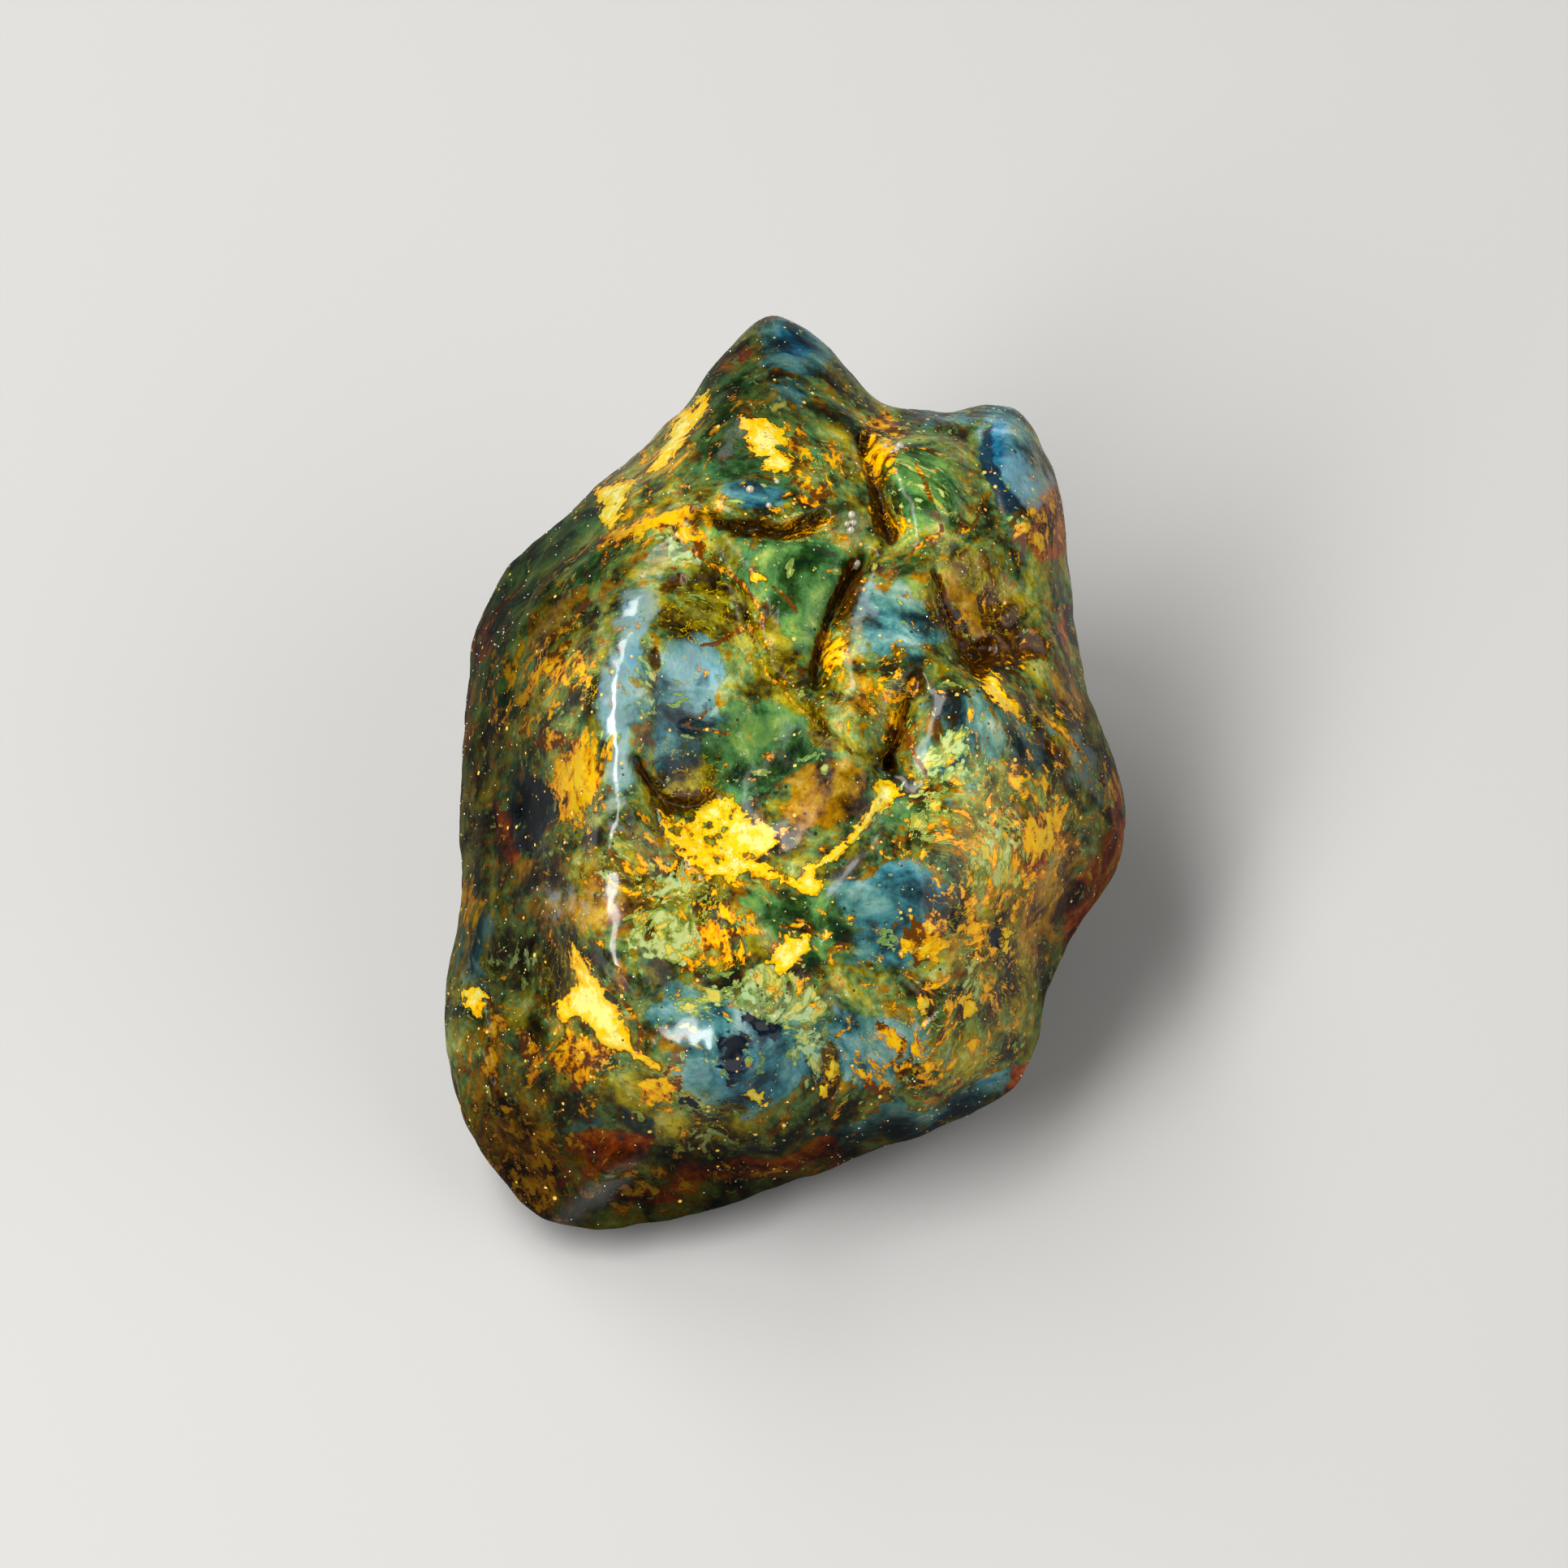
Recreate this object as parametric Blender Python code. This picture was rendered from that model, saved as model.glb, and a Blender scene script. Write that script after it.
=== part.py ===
"""A lump of raw amber, about 42 mm wide, 54 mm long and 30 mm high, lying on a worn flat.

Run it with blender --background --python part.py, or from Blender's text editor. It makes one closed
solid, amber_lump, in metres with +Z up. The flat lies on z = 0 and the lump's box is centred over the origin.

The lump's broad face leans back, so the form is drawn square to that face: u runs right, v runs up the
face and w rises out of it, in millimetres from the face's middle. The outline of the face is the lump's
widest line. In front of it the surface is a set of worn facets with lumps, hollows, crests and grooves;
behind it lie the worn facets of the far side and the flat that the lump rests on.
"""

import math

import bmesh
import bpy
import numpy as np
from mathutils import Vector, noise

MM = 0.001

FACE_TILT = math.radians(50.0)  # how far the broad face's normal rises above the table
FACE_HEIGHT = 17.0  # height of the face's middle above the table
FRONT_FULLNESS = 6.0  # how late the front rounds over to the widest line
BACK_FULLNESS = 4.0
FRONT_SOFTNESS = 0.9  # how far the worn edges between facets are rounded
BACK_SOFTNESS = 1.6
LEAST_RISE = 1.2  # how gently a facet that falls below the widest line is held above it
LINE_BLUNTNESS = 0.5  # how far the middle of a crest or groove is rounded
SPHERE_LEVEL = 7  # the sphere that the lump is shaped from
TRIANGLES = 9300  # what the finished lump is thinned to, before its flat is cut

# The widest line, anticlockwise from the horn: (u, v, height above the table).
OUTLINE = (
    (-0.9, 28.1, 25.5), (-3.9, 26.0, 25.0), (-6.7, 22.5, 23.5), (-9.9, 19.2, 21.5), (-13.4, 16.0, 19.5),
    (-16.9, 12.5, 17.0), (-19.1, 9.0, 15.0), (-19.9, 4.5, 13.0), (-19.9, -1.5, 11.0), (-19.8, -6.3, 9.5),
    (-20.4, -10.5, 8.8), (-20.9, -15.0, 7.4), (-20.6, -19.0, 5.8), (-18.9, -23.0, 4.2), (-15.9, -26.4, 3.0),
    (-11.4, -28.0, 2.6), (-5.4, -27.3, 2.8), (1.6, -25.1, 3.4), (7.6, -22.5, 4.2), (12.9, -20.6, 5.2),
    (14.9, -18.4, 5.8), (16.3, -13.8, 7.5), (18.4, -9.8, 9.0), (20.5, -6.0, 10.5), (20.9, -1.5, 12.0),
    (19.3, 3.3, 13.5), (18.1, 8.5, 15.0), (17.4, 13.5, 17.0), (16.9, 18.0, 19.0), (14.9, 21.8, 21.0),
    (12.5, 22.8, 21.5), (9.6, 22.5, 22.5), (6.1, 22.7, 24.0), (3.9, 24.8, 25.0), (1.6, 27.1, 25.5),
)

# Worn facets of the broad face: a point (u, v, w) on each, and how w changes along u and v.
FRONT_FACETS = (
    ((0.0, 12.0, 6.5), (-0.10, -0.62)),  # top, sloping back to the horn
    ((0.0, 0.0, 12.5), (-0.10, -0.06)),  # middle
    ((0.0, -12.0, 13.0), (-0.12, 0.26)),  # lower front
    ((0.0, -22.0, 10.4), (0.02, 0.85)),  # under the lower edge
    ((-11.0, 0.0, 12.6), (1.05, -0.10)),  # left side
    ((-7.2, 20.3, 1.0), (0.95, -0.95)),  # top left side, beyond the long edge
    ((13.5, 0.0, 9.6), (-0.75, -0.15)),  # right side
    ((17.0, -8.0, 5.2), (-1.20, 0.45)),  # lower right side
    ((-14.0, -23.0, 8.6), (0.55, 0.55)),  # lower left corner
)

# Facets behind the widest line: a point (x, y, height) on each, and the way it faces.
BACK_FACETS = (
    ((0.0, 0.0, -0.6), (0.0, 0.0, -1.0)),  # the side it lies on
    ((0.0, 31.0, 14.0), (0.05, 0.95, -0.31)),  # far end
    ((-14.0, 23.0, 11.0), (-0.66, 0.66, -0.36)),  # far left
    ((16.5, 23.5, 11.0), (0.68, 0.65, -0.34)),  # far right
    ((-20.6, 2.0, 6.0), (-0.86, -0.05, -0.51)),  # under the left side
    ((20.6, 1.0, 7.0), (0.87, -0.06, -0.49)),  # under the right side
    ((-15.5, -20.5, 1.0), (-0.52, -0.42, -0.74)),  # under the lower left corner
    ((2.0, -20.5, 1.0), (0.16, -0.58, -0.80)),  # under the lower edge
    ((15.5, -14.0, 2.5), (0.62, -0.38, -0.69)),  # under the lower right
)

# Lumps and hollows of the broad face: centre, half-lengths, turn in degrees, rise, and how flat the top is.
SWELLS = (
    ((-3.2, 1.2), (5.6, 7.4), 12, -1.9, 2.0),  # great hollow
    ((-5.0, -1.2), (3.6, 3.2), 30, -1.1, 1.0),  # its deep lower left
    ((2.3, -1.0), (3.4, 2.8), 40, 1.2, 1.5),  # dome in the hollow
    ((-4.4, 10.2), (3.8, 2.3), -15, -1.0, 1.5),  # small hollow above
    ((-2.3, 16.7), (3.2, 1.6), 5, 0.7, 1.0),  # swelling over the long crack
    ((8.7, 18.9), (2.9, 4.2), -8, 1.5, 2.0),  # square knob
    ((5.9, 19.3), (1.2, 1.6), 0, 0.7, 1.0),  # bead on the knob's edge
    ((14.9, 18.6), (2.7, 4.4), 18, 1.2, 1.5),  # far right lobe
    ((12.9, 9.4), (3.6, 3.4), -30, -2.6, 1.5),  # right hollow
    ((13.6, 6.9), (3.0, 1.3), -20, -1.2, 1.0),  # its lower cleft
    ((14.5, 2.4), (6.5, 2.4), -38, 1.1, 1.0),  # shoulder under the hollow
    ((8.2, -7.5), (4.5, 3.5), 0, 0.5, 1.0),  # swelling right of the hollow
    ((-5.4, -9.6), (3.4, 2.2), 10, 0.5, 1.0),  # swelling under the hollow
    ((-2.0, -16.6), (6.5, 3.2), 5, 1.0, 1.2),  # lower front swelling
    ((-13.8, -12.5), (3.0, 4.2), 20, -0.8, 1.0),  # dish on the lower left
    ((-19.2, -16.4), (1.7, 2.8), 0, 0.9, 1.0),  # left bulge
    ((11.3, -19.3), (2.0, 1.0), 30, -1.4, 1.0),  # notch under the lower right
    ((-16.0, -0.5), (2.4, 4.0), 0, -0.6, 1.0),  # dish on the left side
    ((2.8, 22.3), (3.0, 2.0), -40, -0.9, 1.0),  # saddle right of the horn
    ((18.6, -7.0), (2.4, 3.2), 20, -0.5, 1.0),  # dish on the lower right side
)

# Crests (raised) and grooves (cut) of the broad face: path, rise and half-width.
LINES = (
    (((-7.8, 14.4), (-9.4, 10.4), (-10.3, 8.0), (-10.8, 6.0), (-10.9, 2.0), (-10.9, 0.0), (-10.5, -3.0),
      (-11.8, -6.0), (-12.1, -8.0), (-11.4, -10.0), (-9.2, -12.8)), 1.2, 1.6),  # main ridge
    (((-11.2, 14.2), (-8.0, 15.9), (-5.6, 16.6)), 0.6, 1.0),  # crusted edge
    (((5.2, 19.4), (5.7, 16.4), (6.6, 14.4)), -1.2, 0.8),  # cleft left of the knob
    (((4.5, 13.2), (3.6, 11.4), (2.7, 9.4), (1.9, 7.2), (2.2, 5.4)), -1.3, 0.8),  # middle cleft
    (((7.7, 4.4), (7.2, 2.6), (6.5, 0.6)), -1.1, 0.8),  # cleft down to the pit
    (((11.3, 22.6), (12.0, 18.6), (13.1, 15.4), (14.4, 13.4)), -1.8, 1.0),  # between knob and lobe
    (((-16.4, -22.0), (-10.4, -24.6), (-4.4, -22.6), (6.6, -21.4), (13.1, -18.6)), 0.5, 1.2),  # lower edge
    (((-11.0, -24.8), (-13.6, -27.0)), 0.6, 0.9),  # keel under the corner
    (((-18.1, -14.0), (-18.2, -16.5), (-17.8, -19.0)), -0.6, 0.8),  # crease beside the bulge
)

# Ledges of the broad face, which stand up on the left of their path: path, rise, width of the step, and
# how far back from it the rise dies away.
LEDGES = (
    (((-4.6, 15.6), (-1.4, 14.8), (0.9, 15.0), (3.0, 15.2)), 1.3, 0.5, 3.0),  # over the long crack
    (((6.4, 0.2), (4.1, 1.0), (1.6, 3.5), (-1.1, 6.0), (-2.2, 8.8)), -0.9, 0.6, 4.0),  # hollow under the slab
    (((-8.6, 8.4), (-9.2, 4.0), (-9.2, 0.4), (-7.8, -2.0), (-4.6, -2.6)), -1.0, 0.7, 3.0),  # foot of the ridge
    (((-8.0, -2.4), (-5.8, -6.0), (-1.6, -7.6), (2.0, -8.0), (5.0, -4.6), (7.4, -1.0)), -0.8, 0.8, 3.0),  # lip
    (((9.1, 12.4), (9.9, 9.6), (10.9, 7.4), (12.2, 6.4), (15.2, 4.2)), -1.2, 0.7, 3.0),  # edge of right hollow
    (((-7.6, 9.0), (-3.2, 8.0), (-1.2, 9.6), (-4.6, 15.2), (-8.0, 13.8)), -0.7, 0.5, 2.5),  # leaf-shaped hollow
)

# Hollows behind the widest line: centre (x, y, height), radius and depth.
DENTS = (
    ((-9.0, 26.0, 12.0), 7.0, 1.6),
    ((9.0, 27.0, 9.0), 6.5, 1.4),
    ((2.0, 30.0, 17.0), 5.0, 1.2),
    ((-18.0, 8.0, 5.0), 6.0, 1.2),
    ((-18.5, -6.0, 3.0), 5.0, 0.8),
    ((19.5, 10.0, 7.0), 6.5, 1.4),
    ((19.0, -3.0, 4.5), 5.0, 1.0),
    ((14.5, 23.0, 15.0), 4.0, 1.0),
)

GRAIN_SIZE = 7.5  # length of the low swells all over
GRAIN_HEIGHT = 0.5
GRAIN_SHIFT = Vector((3.1, 7.7, 1.3))

AMBER_GREEN = (0.075, 0.125, 0.055, 1.0)


def clear_scene():
    for old in list(bpy.data.objects):
        bpy.data.objects.remove(old)


def closed_curve(points, steps=12):
    """Points along a smooth closed curve that passes through the given ones."""
    here = np.array(points)
    before = np.roll(here, 1, axis=0)
    after = np.roll(here, -1, axis=0)
    beyond = np.roll(here, -2, axis=0)
    t = np.linspace(0.0, 1.0, steps, endpoint=False)[:, None, None]
    bend = 2 * before - 5 * here + 4 * after - beyond
    twist = 3 * here - before - 3 * after + beyond
    curve = here + 0.5 * ((after - before) * t + bend * t**2 + twist * t**3)
    return curve.transpose(1, 0, 2).reshape(-1, here.shape[1])


def widest_line(angle):
    """Distance from the middle, and w, of the widest line in each direction round the face."""
    u, v, height = closed_curve(OUTLINE).T
    w = (height - FACE_HEIGHT - v * math.cos(FACE_TILT)) / math.sin(FACE_TILT)
    round_face = np.arctan2(v, u)
    reach = np.interp(angle, round_face, np.hypot(u, v), period=math.tau)
    return reach, np.interp(angle, round_face, w, period=math.tau)


def soft_least(values, softness):
    """The least of several surfaces, with the edges where they cross rounded off."""
    least = np.min(values, axis=0)
    return least - softness * np.log(np.sum(np.exp((least - values) / softness), axis=0))


def kept_above(rise):
    """A rise that fades towards nothing instead of turning negative."""
    return LEAST_RISE * np.logaddexp(0.0, rise / LEAST_RISE)


def path_offset(u, v, path):
    """How far each point is from a path of straight runs, and how far to the left of its nearest run."""
    nearest = np.full(u.shape, np.inf)
    left = np.zeros(u.shape)
    for (u0, v0), (u1, v1) in zip(path, path[1:]):
        du = u1 - u0
        dv = v1 - v0
        along = np.clip(((u - u0) * du + (v - v0) * dv) / (du * du + dv * dv), 0.0, 1.0)
        away = np.hypot(u - u0 - along * du, v - v0 - along * dv)
        closer = away < nearest
        nearest = np.where(closer, away, nearest)
        left = np.where(closer, (du * (v - v0) - dv * (u - u0)) / math.hypot(du, dv), left)
    return nearest, left


def line(u, v, path, rise, width):
    """A crest or groove along a path."""
    away = np.hypot(path_offset(u, v, path)[0], LINE_BLUNTNESS) - LINE_BLUNTNESS
    return rise * np.exp(-away / width)


def ledge(u, v, path, rise, step, fade):
    """A step along a path, high on its left."""
    away, left = path_offset(u, v, path)
    return rise * np.exp(-away / fade) * 0.5 * (1.0 + np.tanh(left / step))


def swell(u, v, centre, half, turn, rise, flatness):
    """A lump or hollow with an oval foot."""
    cos, sin = math.cos(math.radians(turn)), math.sin(math.radians(turn))
    du = u - centre[0]
    dv = v - centre[1]
    across = (du * cos + dv * sin) / half[0]
    upward = (dv * cos - du * sin) / half[1]
    return rise * np.exp(-((across**2 + upward**2) ** flatness))


def front_face(u, v):
    """Height w of the broad face, before it rounds over to the widest line."""
    facets = [w0 + (u - u0) * su + (v - v0) * sv for (u0, v0, w0), (su, sv) in FRONT_FACETS]
    face = soft_least(np.array(facets), FRONT_SOFTNESS)
    for centre, half, turn, rise, flatness in SWELLS:
        face += swell(u, v, centre, half, turn, rise, flatness)
    for path, rise, width in LINES:
        face += line(u, v, path, rise, width)
    for path, rise, step, fade in LEDGES:
        face += ledge(u, v, path, rise, step, fade)
    return face


def back_face(u, v):
    """Height w of the hidden facets, below the broad face."""
    cos, sin = math.cos(FACE_TILT), math.sin(FACE_TILT)
    facets = []
    for (x0, y0, z0), (nx, ny, nz) in BACK_FACETS:
        reach = nx * x0 + ny * y0 + nz * (z0 - FACE_HEIGHT)
        facets.append((reach - u * nx - v * (ny * sin + nz * cos)) / (nz * sin - ny * cos))
    return -soft_least(-np.array(facets), BACK_SOFTNESS)


def lump_points(directions):
    """Where each direction of the unit sphere ends on the lump, in millimetres over the table."""
    angle = np.arctan2(directions[:, 1], directions[:, 0])
    share = np.hypot(directions[:, 0], directions[:, 1]).clip(0.0, 1.0)
    reach, rim = widest_line(angle)
    u = share * reach * np.cos(angle)
    v = share * reach * np.sin(angle)
    front = rim + kept_above(front_face(u, v) - rim) * np.sqrt(1.0 - share**FRONT_FULLNESS)
    back = rim - kept_above(rim - back_face(u, v)) * np.sqrt(1.0 - share**BACK_FULLNESS)
    w = np.where(directions[:, 2] > 0.0, front, back)
    cos, sin = math.cos(FACE_TILT), math.sin(FACE_TILT)
    points = np.stack((u, v * sin - w * cos, FACE_HEIGHT + v * cos + w * sin), axis=1)
    return add_grain(add_dents(points))


def add_dents(points):
    """The worn hollows of the sides and the far end."""
    middle = np.array((0.0, 2.0, FACE_HEIGHT - 2.0))
    inward = middle - points
    inward /= np.linalg.norm(inward, axis=1)[:, None]
    for centre, radius, depth in DENTS:
        gap = np.linalg.norm(points - np.array(centre), axis=1) / radius
        points = points + inward * (depth * np.exp(-((gap) ** 3)))[:, None]
    return points


def add_grain(points):
    """Low swells of no fixed shape over the whole lump."""
    outward = points - np.array((0.0, 2.0, FACE_HEIGHT - 3.0))
    outward /= np.linalg.norm(outward, axis=1)[:, None]
    rise = [noise.fractal(Vector(point) / GRAIN_SIZE + GRAIN_SHIFT, 1.0, 2.0, 3) for point in points]
    return points + outward * (GRAIN_HEIGHT * np.array(rise))[:, None]


def shaped_sphere():
    """A sphere whose every corner is moved to its place on the lump."""
    shape = bmesh.new()
    bmesh.ops.create_icosphere(shape, subdivisions=SPHERE_LEVEL, radius=1.0)
    directions = np.array([corner.co for corner in shape.verts])
    for corner, point in zip(shape.verts, lump_points(directions)):
        corner.co = Vector(point) * MM
    mesh = bpy.data.meshes.new("amber_lump")
    shape.to_mesh(mesh)
    shape.free()
    return mesh


def thinned(mesh):
    """The same form with its corners kept where the surface bends."""
    guide = bpy.data.objects.new("lump_guide", mesh)
    bpy.context.scene.collection.objects.link(guide)
    thin = guide.modifiers.new("thin", "DECIMATE")
    thin.ratio = TRIANGLES / len(mesh.polygons)
    evaluated = guide.evaluated_get(bpy.context.evaluated_depsgraph_get())
    result = bpy.data.meshes.new_from_object(evaluated)
    bpy.data.objects.remove(guide)
    return result


def cut_flat(mesh):
    """Cuts the flat that the lump rests on, and centres the lump over the origin."""
    shape = bmesh.new()
    shape.from_mesh(mesh)
    everything = shape.verts[:] + shape.edges[:] + shape.faces[:]
    bmesh.ops.bisect_plane(shape, geom=everything, plane_co=(0, 0, 0), plane_no=(0, 0, -1), clear_outer=True)
    bmesh.ops.holes_fill(shape, edges=[edge for edge in shape.edges if edge.is_boundary])
    bmesh.ops.triangulate(shape, faces=[face for face in shape.faces if len(face.verts) > 3])
    corners = np.array([corner.co for corner in shape.verts])
    middle = (corners.min(axis=0) + corners.max(axis=0)) / 2
    bmesh.ops.translate(shape, verts=shape.verts, vec=(-middle[0], -middle[1], 0.0))
    shape.to_mesh(mesh)
    shape.free()


def amber_material():
    material = bpy.data.materials.new("amber_green")
    material.use_nodes = True
    surface = material.node_tree.nodes["Principled BSDF"]
    surface.inputs["Base Color"].default_value = AMBER_GREEN
    surface.inputs["Roughness"].default_value = 0.18
    surface.inputs["Metallic"].default_value = 0.0
    return material


def make_lump():
    mesh = thinned(shaped_sphere())
    cut_flat(mesh)
    mesh.name = "amber_lump"
    mesh.materials.append(amber_material())
    mesh.shade_smooth()
    lump = bpy.data.objects.new("amber_lump", mesh)
    collection = bpy.data.collections.new("raw_amber")
    bpy.context.scene.collection.children.link(collection)
    collection.objects.link(lump)


clear_scene()
make_lump()
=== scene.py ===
"""A worn lump of raw amber: green and blue resin under a wet polish, with flakes of yellow and orange crust.

The script is laid out as an add-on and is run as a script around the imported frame. The lump's form is
drawn square to its broad leaning face: u runs right, v runs up the face and w rises out of it, in
millimetres from the face's middle. Colour marks lie on a grid over the same face, twenty lines to the
millimetre. Everything else is in metres, in the frame's own axes.
"""

import math

import bmesh
import bpy
import numpy as np
from mathutils import Matrix, Vector, noise


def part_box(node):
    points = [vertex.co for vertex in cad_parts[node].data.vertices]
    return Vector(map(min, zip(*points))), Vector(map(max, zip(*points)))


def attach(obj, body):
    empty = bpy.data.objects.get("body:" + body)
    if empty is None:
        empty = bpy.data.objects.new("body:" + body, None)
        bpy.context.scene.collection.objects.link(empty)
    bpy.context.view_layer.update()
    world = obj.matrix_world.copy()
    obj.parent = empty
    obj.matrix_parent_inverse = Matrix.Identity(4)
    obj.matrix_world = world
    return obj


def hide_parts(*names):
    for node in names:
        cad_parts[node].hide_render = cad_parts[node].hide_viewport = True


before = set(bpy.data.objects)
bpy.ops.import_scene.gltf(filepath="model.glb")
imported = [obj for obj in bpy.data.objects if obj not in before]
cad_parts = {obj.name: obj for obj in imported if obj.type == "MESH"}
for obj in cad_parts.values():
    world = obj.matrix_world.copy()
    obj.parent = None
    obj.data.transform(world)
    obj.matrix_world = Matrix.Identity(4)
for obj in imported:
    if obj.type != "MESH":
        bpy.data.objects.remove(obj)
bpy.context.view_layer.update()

bl_info = {
    "name": "Raw Amber Lump",
    "version": (1, 0, 0),
    "blender": (4, 5, 0),
    "location": "3D View > Sidebar > Amber",
    "description": "Makes a worn lump of raw amber with its crust, hollows and wet polish",
    "category": "Object",
}

MM = 0.001
PER_SQUARE_METRE = 1.0e4  # square centimetres in a square metre
LUMP_NODE = "amber_lump"

# ---------------------------------------------------------------- form

FACE_TILT = math.radians(50.0)  # how far the broad face's normal rises above the table
FACE_HEIGHT = 17.0  # height of the face's middle above the table
FRONT_FULLNESS = 6.0  # how late the front rounds over to the widest line
BACK_FULLNESS = 4.0
FRONT_SOFTNESS = 0.9  # how far the worn edges between facets are rounded
BACK_SOFTNESS = 1.6
LEAST_RISE = 1.2  # how gently a facet that falls below the widest line is held above it
LINE_BLUNTNESS = 0.8  # how far the middle of a crest or groove is rounded
RIDGE_BLUNTNESS = 4.0  # the same for the main ridge, which is the first line

# The widest line, anticlockwise from the horn: (u, v, height above the table).
OUTLINE = (
    (-0.9, 28.1, 25.5), (-3.9, 26.0, 25.0), (-6.7, 22.5, 23.5), (-9.9, 19.2, 21.5), (-13.4, 16.0, 19.5),
    (-16.9, 12.5, 17.0), (-19.1, 9.0, 15.0), (-19.9, 4.5, 13.0), (-19.9, -1.5, 11.0), (-19.8, -6.3, 9.5),
    (-20.4, -10.5, 8.8), (-20.9, -15.0, 7.4), (-20.6, -19.0, 5.8), (-18.9, -23.0, 4.2), (-15.9, -26.4, 3.0),
    (-11.4, -28.0, 2.6), (-5.4, -27.3, 2.8), (1.6, -25.1, 3.4), (7.6, -22.5, 4.2), (12.9, -20.6, 5.2),
    (14.9, -18.4, 5.8), (16.3, -13.8, 7.5), (18.4, -9.8, 9.0), (20.5, -6.0, 10.5), (20.9, -1.5, 12.0),
    (19.3, 3.3, 13.5), (18.1, 8.5, 15.0), (17.4, 13.5, 17.0), (16.9, 18.0, 19.0), (14.9, 21.8, 21.0),
    (12.5, 22.8, 21.5), (9.6, 22.5, 22.5), (6.1, 22.7, 24.0), (3.9, 24.8, 25.0), (1.6, 27.1, 25.5),
)

# Worn facets of the broad face: a point (u, v, w) on each, and how w changes along u and v.
FRONT_FACETS = (
    ((0.0, 12.0, 6.5), (-0.10, -0.62)),  # top, sloping back to the horn
    ((0.0, 0.0, 12.5), (-0.10, -0.06)),  # middle
    ((0.0, -12.0, 13.0), (-0.12, 0.26)),  # lower front
    ((0.0, -22.0, 10.4), (0.02, 0.85)),  # under the lower edge
    ((-11.0, 0.0, 12.6), (1.05, -0.10)),  # left side
    ((-7.2, 20.3, 1.0), (0.95, -0.95)),  # top left side, beyond the long edge
    ((13.5, 0.0, 9.6), (-0.75, -0.15)),  # right side
    ((17.0, -8.0, 5.2), (-1.20, 0.45)),  # lower right side
    ((-14.0, -23.0, 8.6), (0.55, 0.55)),  # lower left corner
)

# Facets behind the widest line: a point (x, y, height) on each, and the way it faces.
BACK_FACETS = (
    ((0.0, 0.0, -0.6), (0.0, 0.0, -1.0)),  # the side it lies on
    ((0.0, 31.0, 14.0), (0.05, 0.95, -0.31)),  # far end
    ((-14.0, 23.0, 11.0), (-0.66, 0.66, -0.36)),  # far left
    ((16.5, 23.5, 11.0), (0.68, 0.65, -0.34)),  # far right
    ((-20.6, 2.0, 6.0), (-0.86, -0.05, -0.51)),  # under the left side
    ((20.6, 1.0, 7.0), (0.87, -0.06, -0.49)),  # under the right side
    ((-15.5, -20.5, 1.0), (-0.52, -0.42, -0.74)),  # under the lower left corner
    ((2.0, -20.5, 1.0), (0.16, -0.58, -0.80)),  # under the lower edge
    ((15.5, -14.0, 2.5), (0.62, -0.38, -0.69)),  # under the lower right
)

# Lumps and hollows of the broad face: centre, half-lengths, turn in degrees, rise, and how flat the top is.
SWELLS = (
    ((-3.2, 1.2), (5.6, 7.4), 12, -1.9, 2.0),  # great hollow
    ((-5.0, -1.2), (3.6, 3.2), 30, -1.1, 1.0),  # its deep lower left
    ((2.3, -1.0), (3.4, 2.8), 40, 1.2, 1.5),  # dome in the hollow
    ((-4.4, 10.2), (3.8, 2.3), -15, -1.0, 1.5),  # small hollow above
    ((-2.3, 16.7), (3.2, 1.6), 5, 0.7, 1.0),  # swelling over the long crack
    ((8.7, 18.9), (2.9, 4.2), -8, 1.5, 2.0),  # square knob
    ((5.9, 19.3), (1.2, 1.6), 0, 0.7, 1.0),  # bead on the knob's edge
    ((14.9, 18.6), (2.7, 4.4), 18, 1.2, 1.5),  # far right lobe
    ((12.9, 9.4), (3.6, 3.4), -30, -2.6, 1.5),  # right hollow
    ((13.6, 6.9), (3.0, 1.3), -20, -1.2, 1.0),  # its lower cleft
    ((14.5, 2.4), (6.5, 2.4), -38, 1.1, 1.0),  # shoulder under the hollow
    ((8.2, -7.5), (4.5, 3.5), 0, 0.5, 1.0),  # swelling right of the hollow
    ((-5.4, -9.6), (3.4, 2.2), 10, 0.5, 1.0),  # swelling under the hollow
    ((-2.0, -16.6), (6.5, 3.2), 5, 1.0, 1.2),  # lower front swelling
    ((-13.8, -12.5), (3.0, 4.2), 20, -0.8, 1.0),  # dish on the lower left
    ((-19.2, -16.4), (1.7, 2.8), 0, 0.9, 1.0),  # left bulge
    ((11.3, -19.3), (2.0, 1.0), 30, -1.4, 1.0),  # notch under the lower right
    ((-16.0, -0.5), (2.4, 4.0), 0, -0.6, 1.0),  # dish on the left side
    ((2.8, 22.3), (3.0, 2.0), -40, -0.9, 1.0),  # saddle right of the horn
    ((18.6, -7.0), (2.4, 3.2), 20, -0.5, 1.0),  # dish on the lower right side
)

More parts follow.
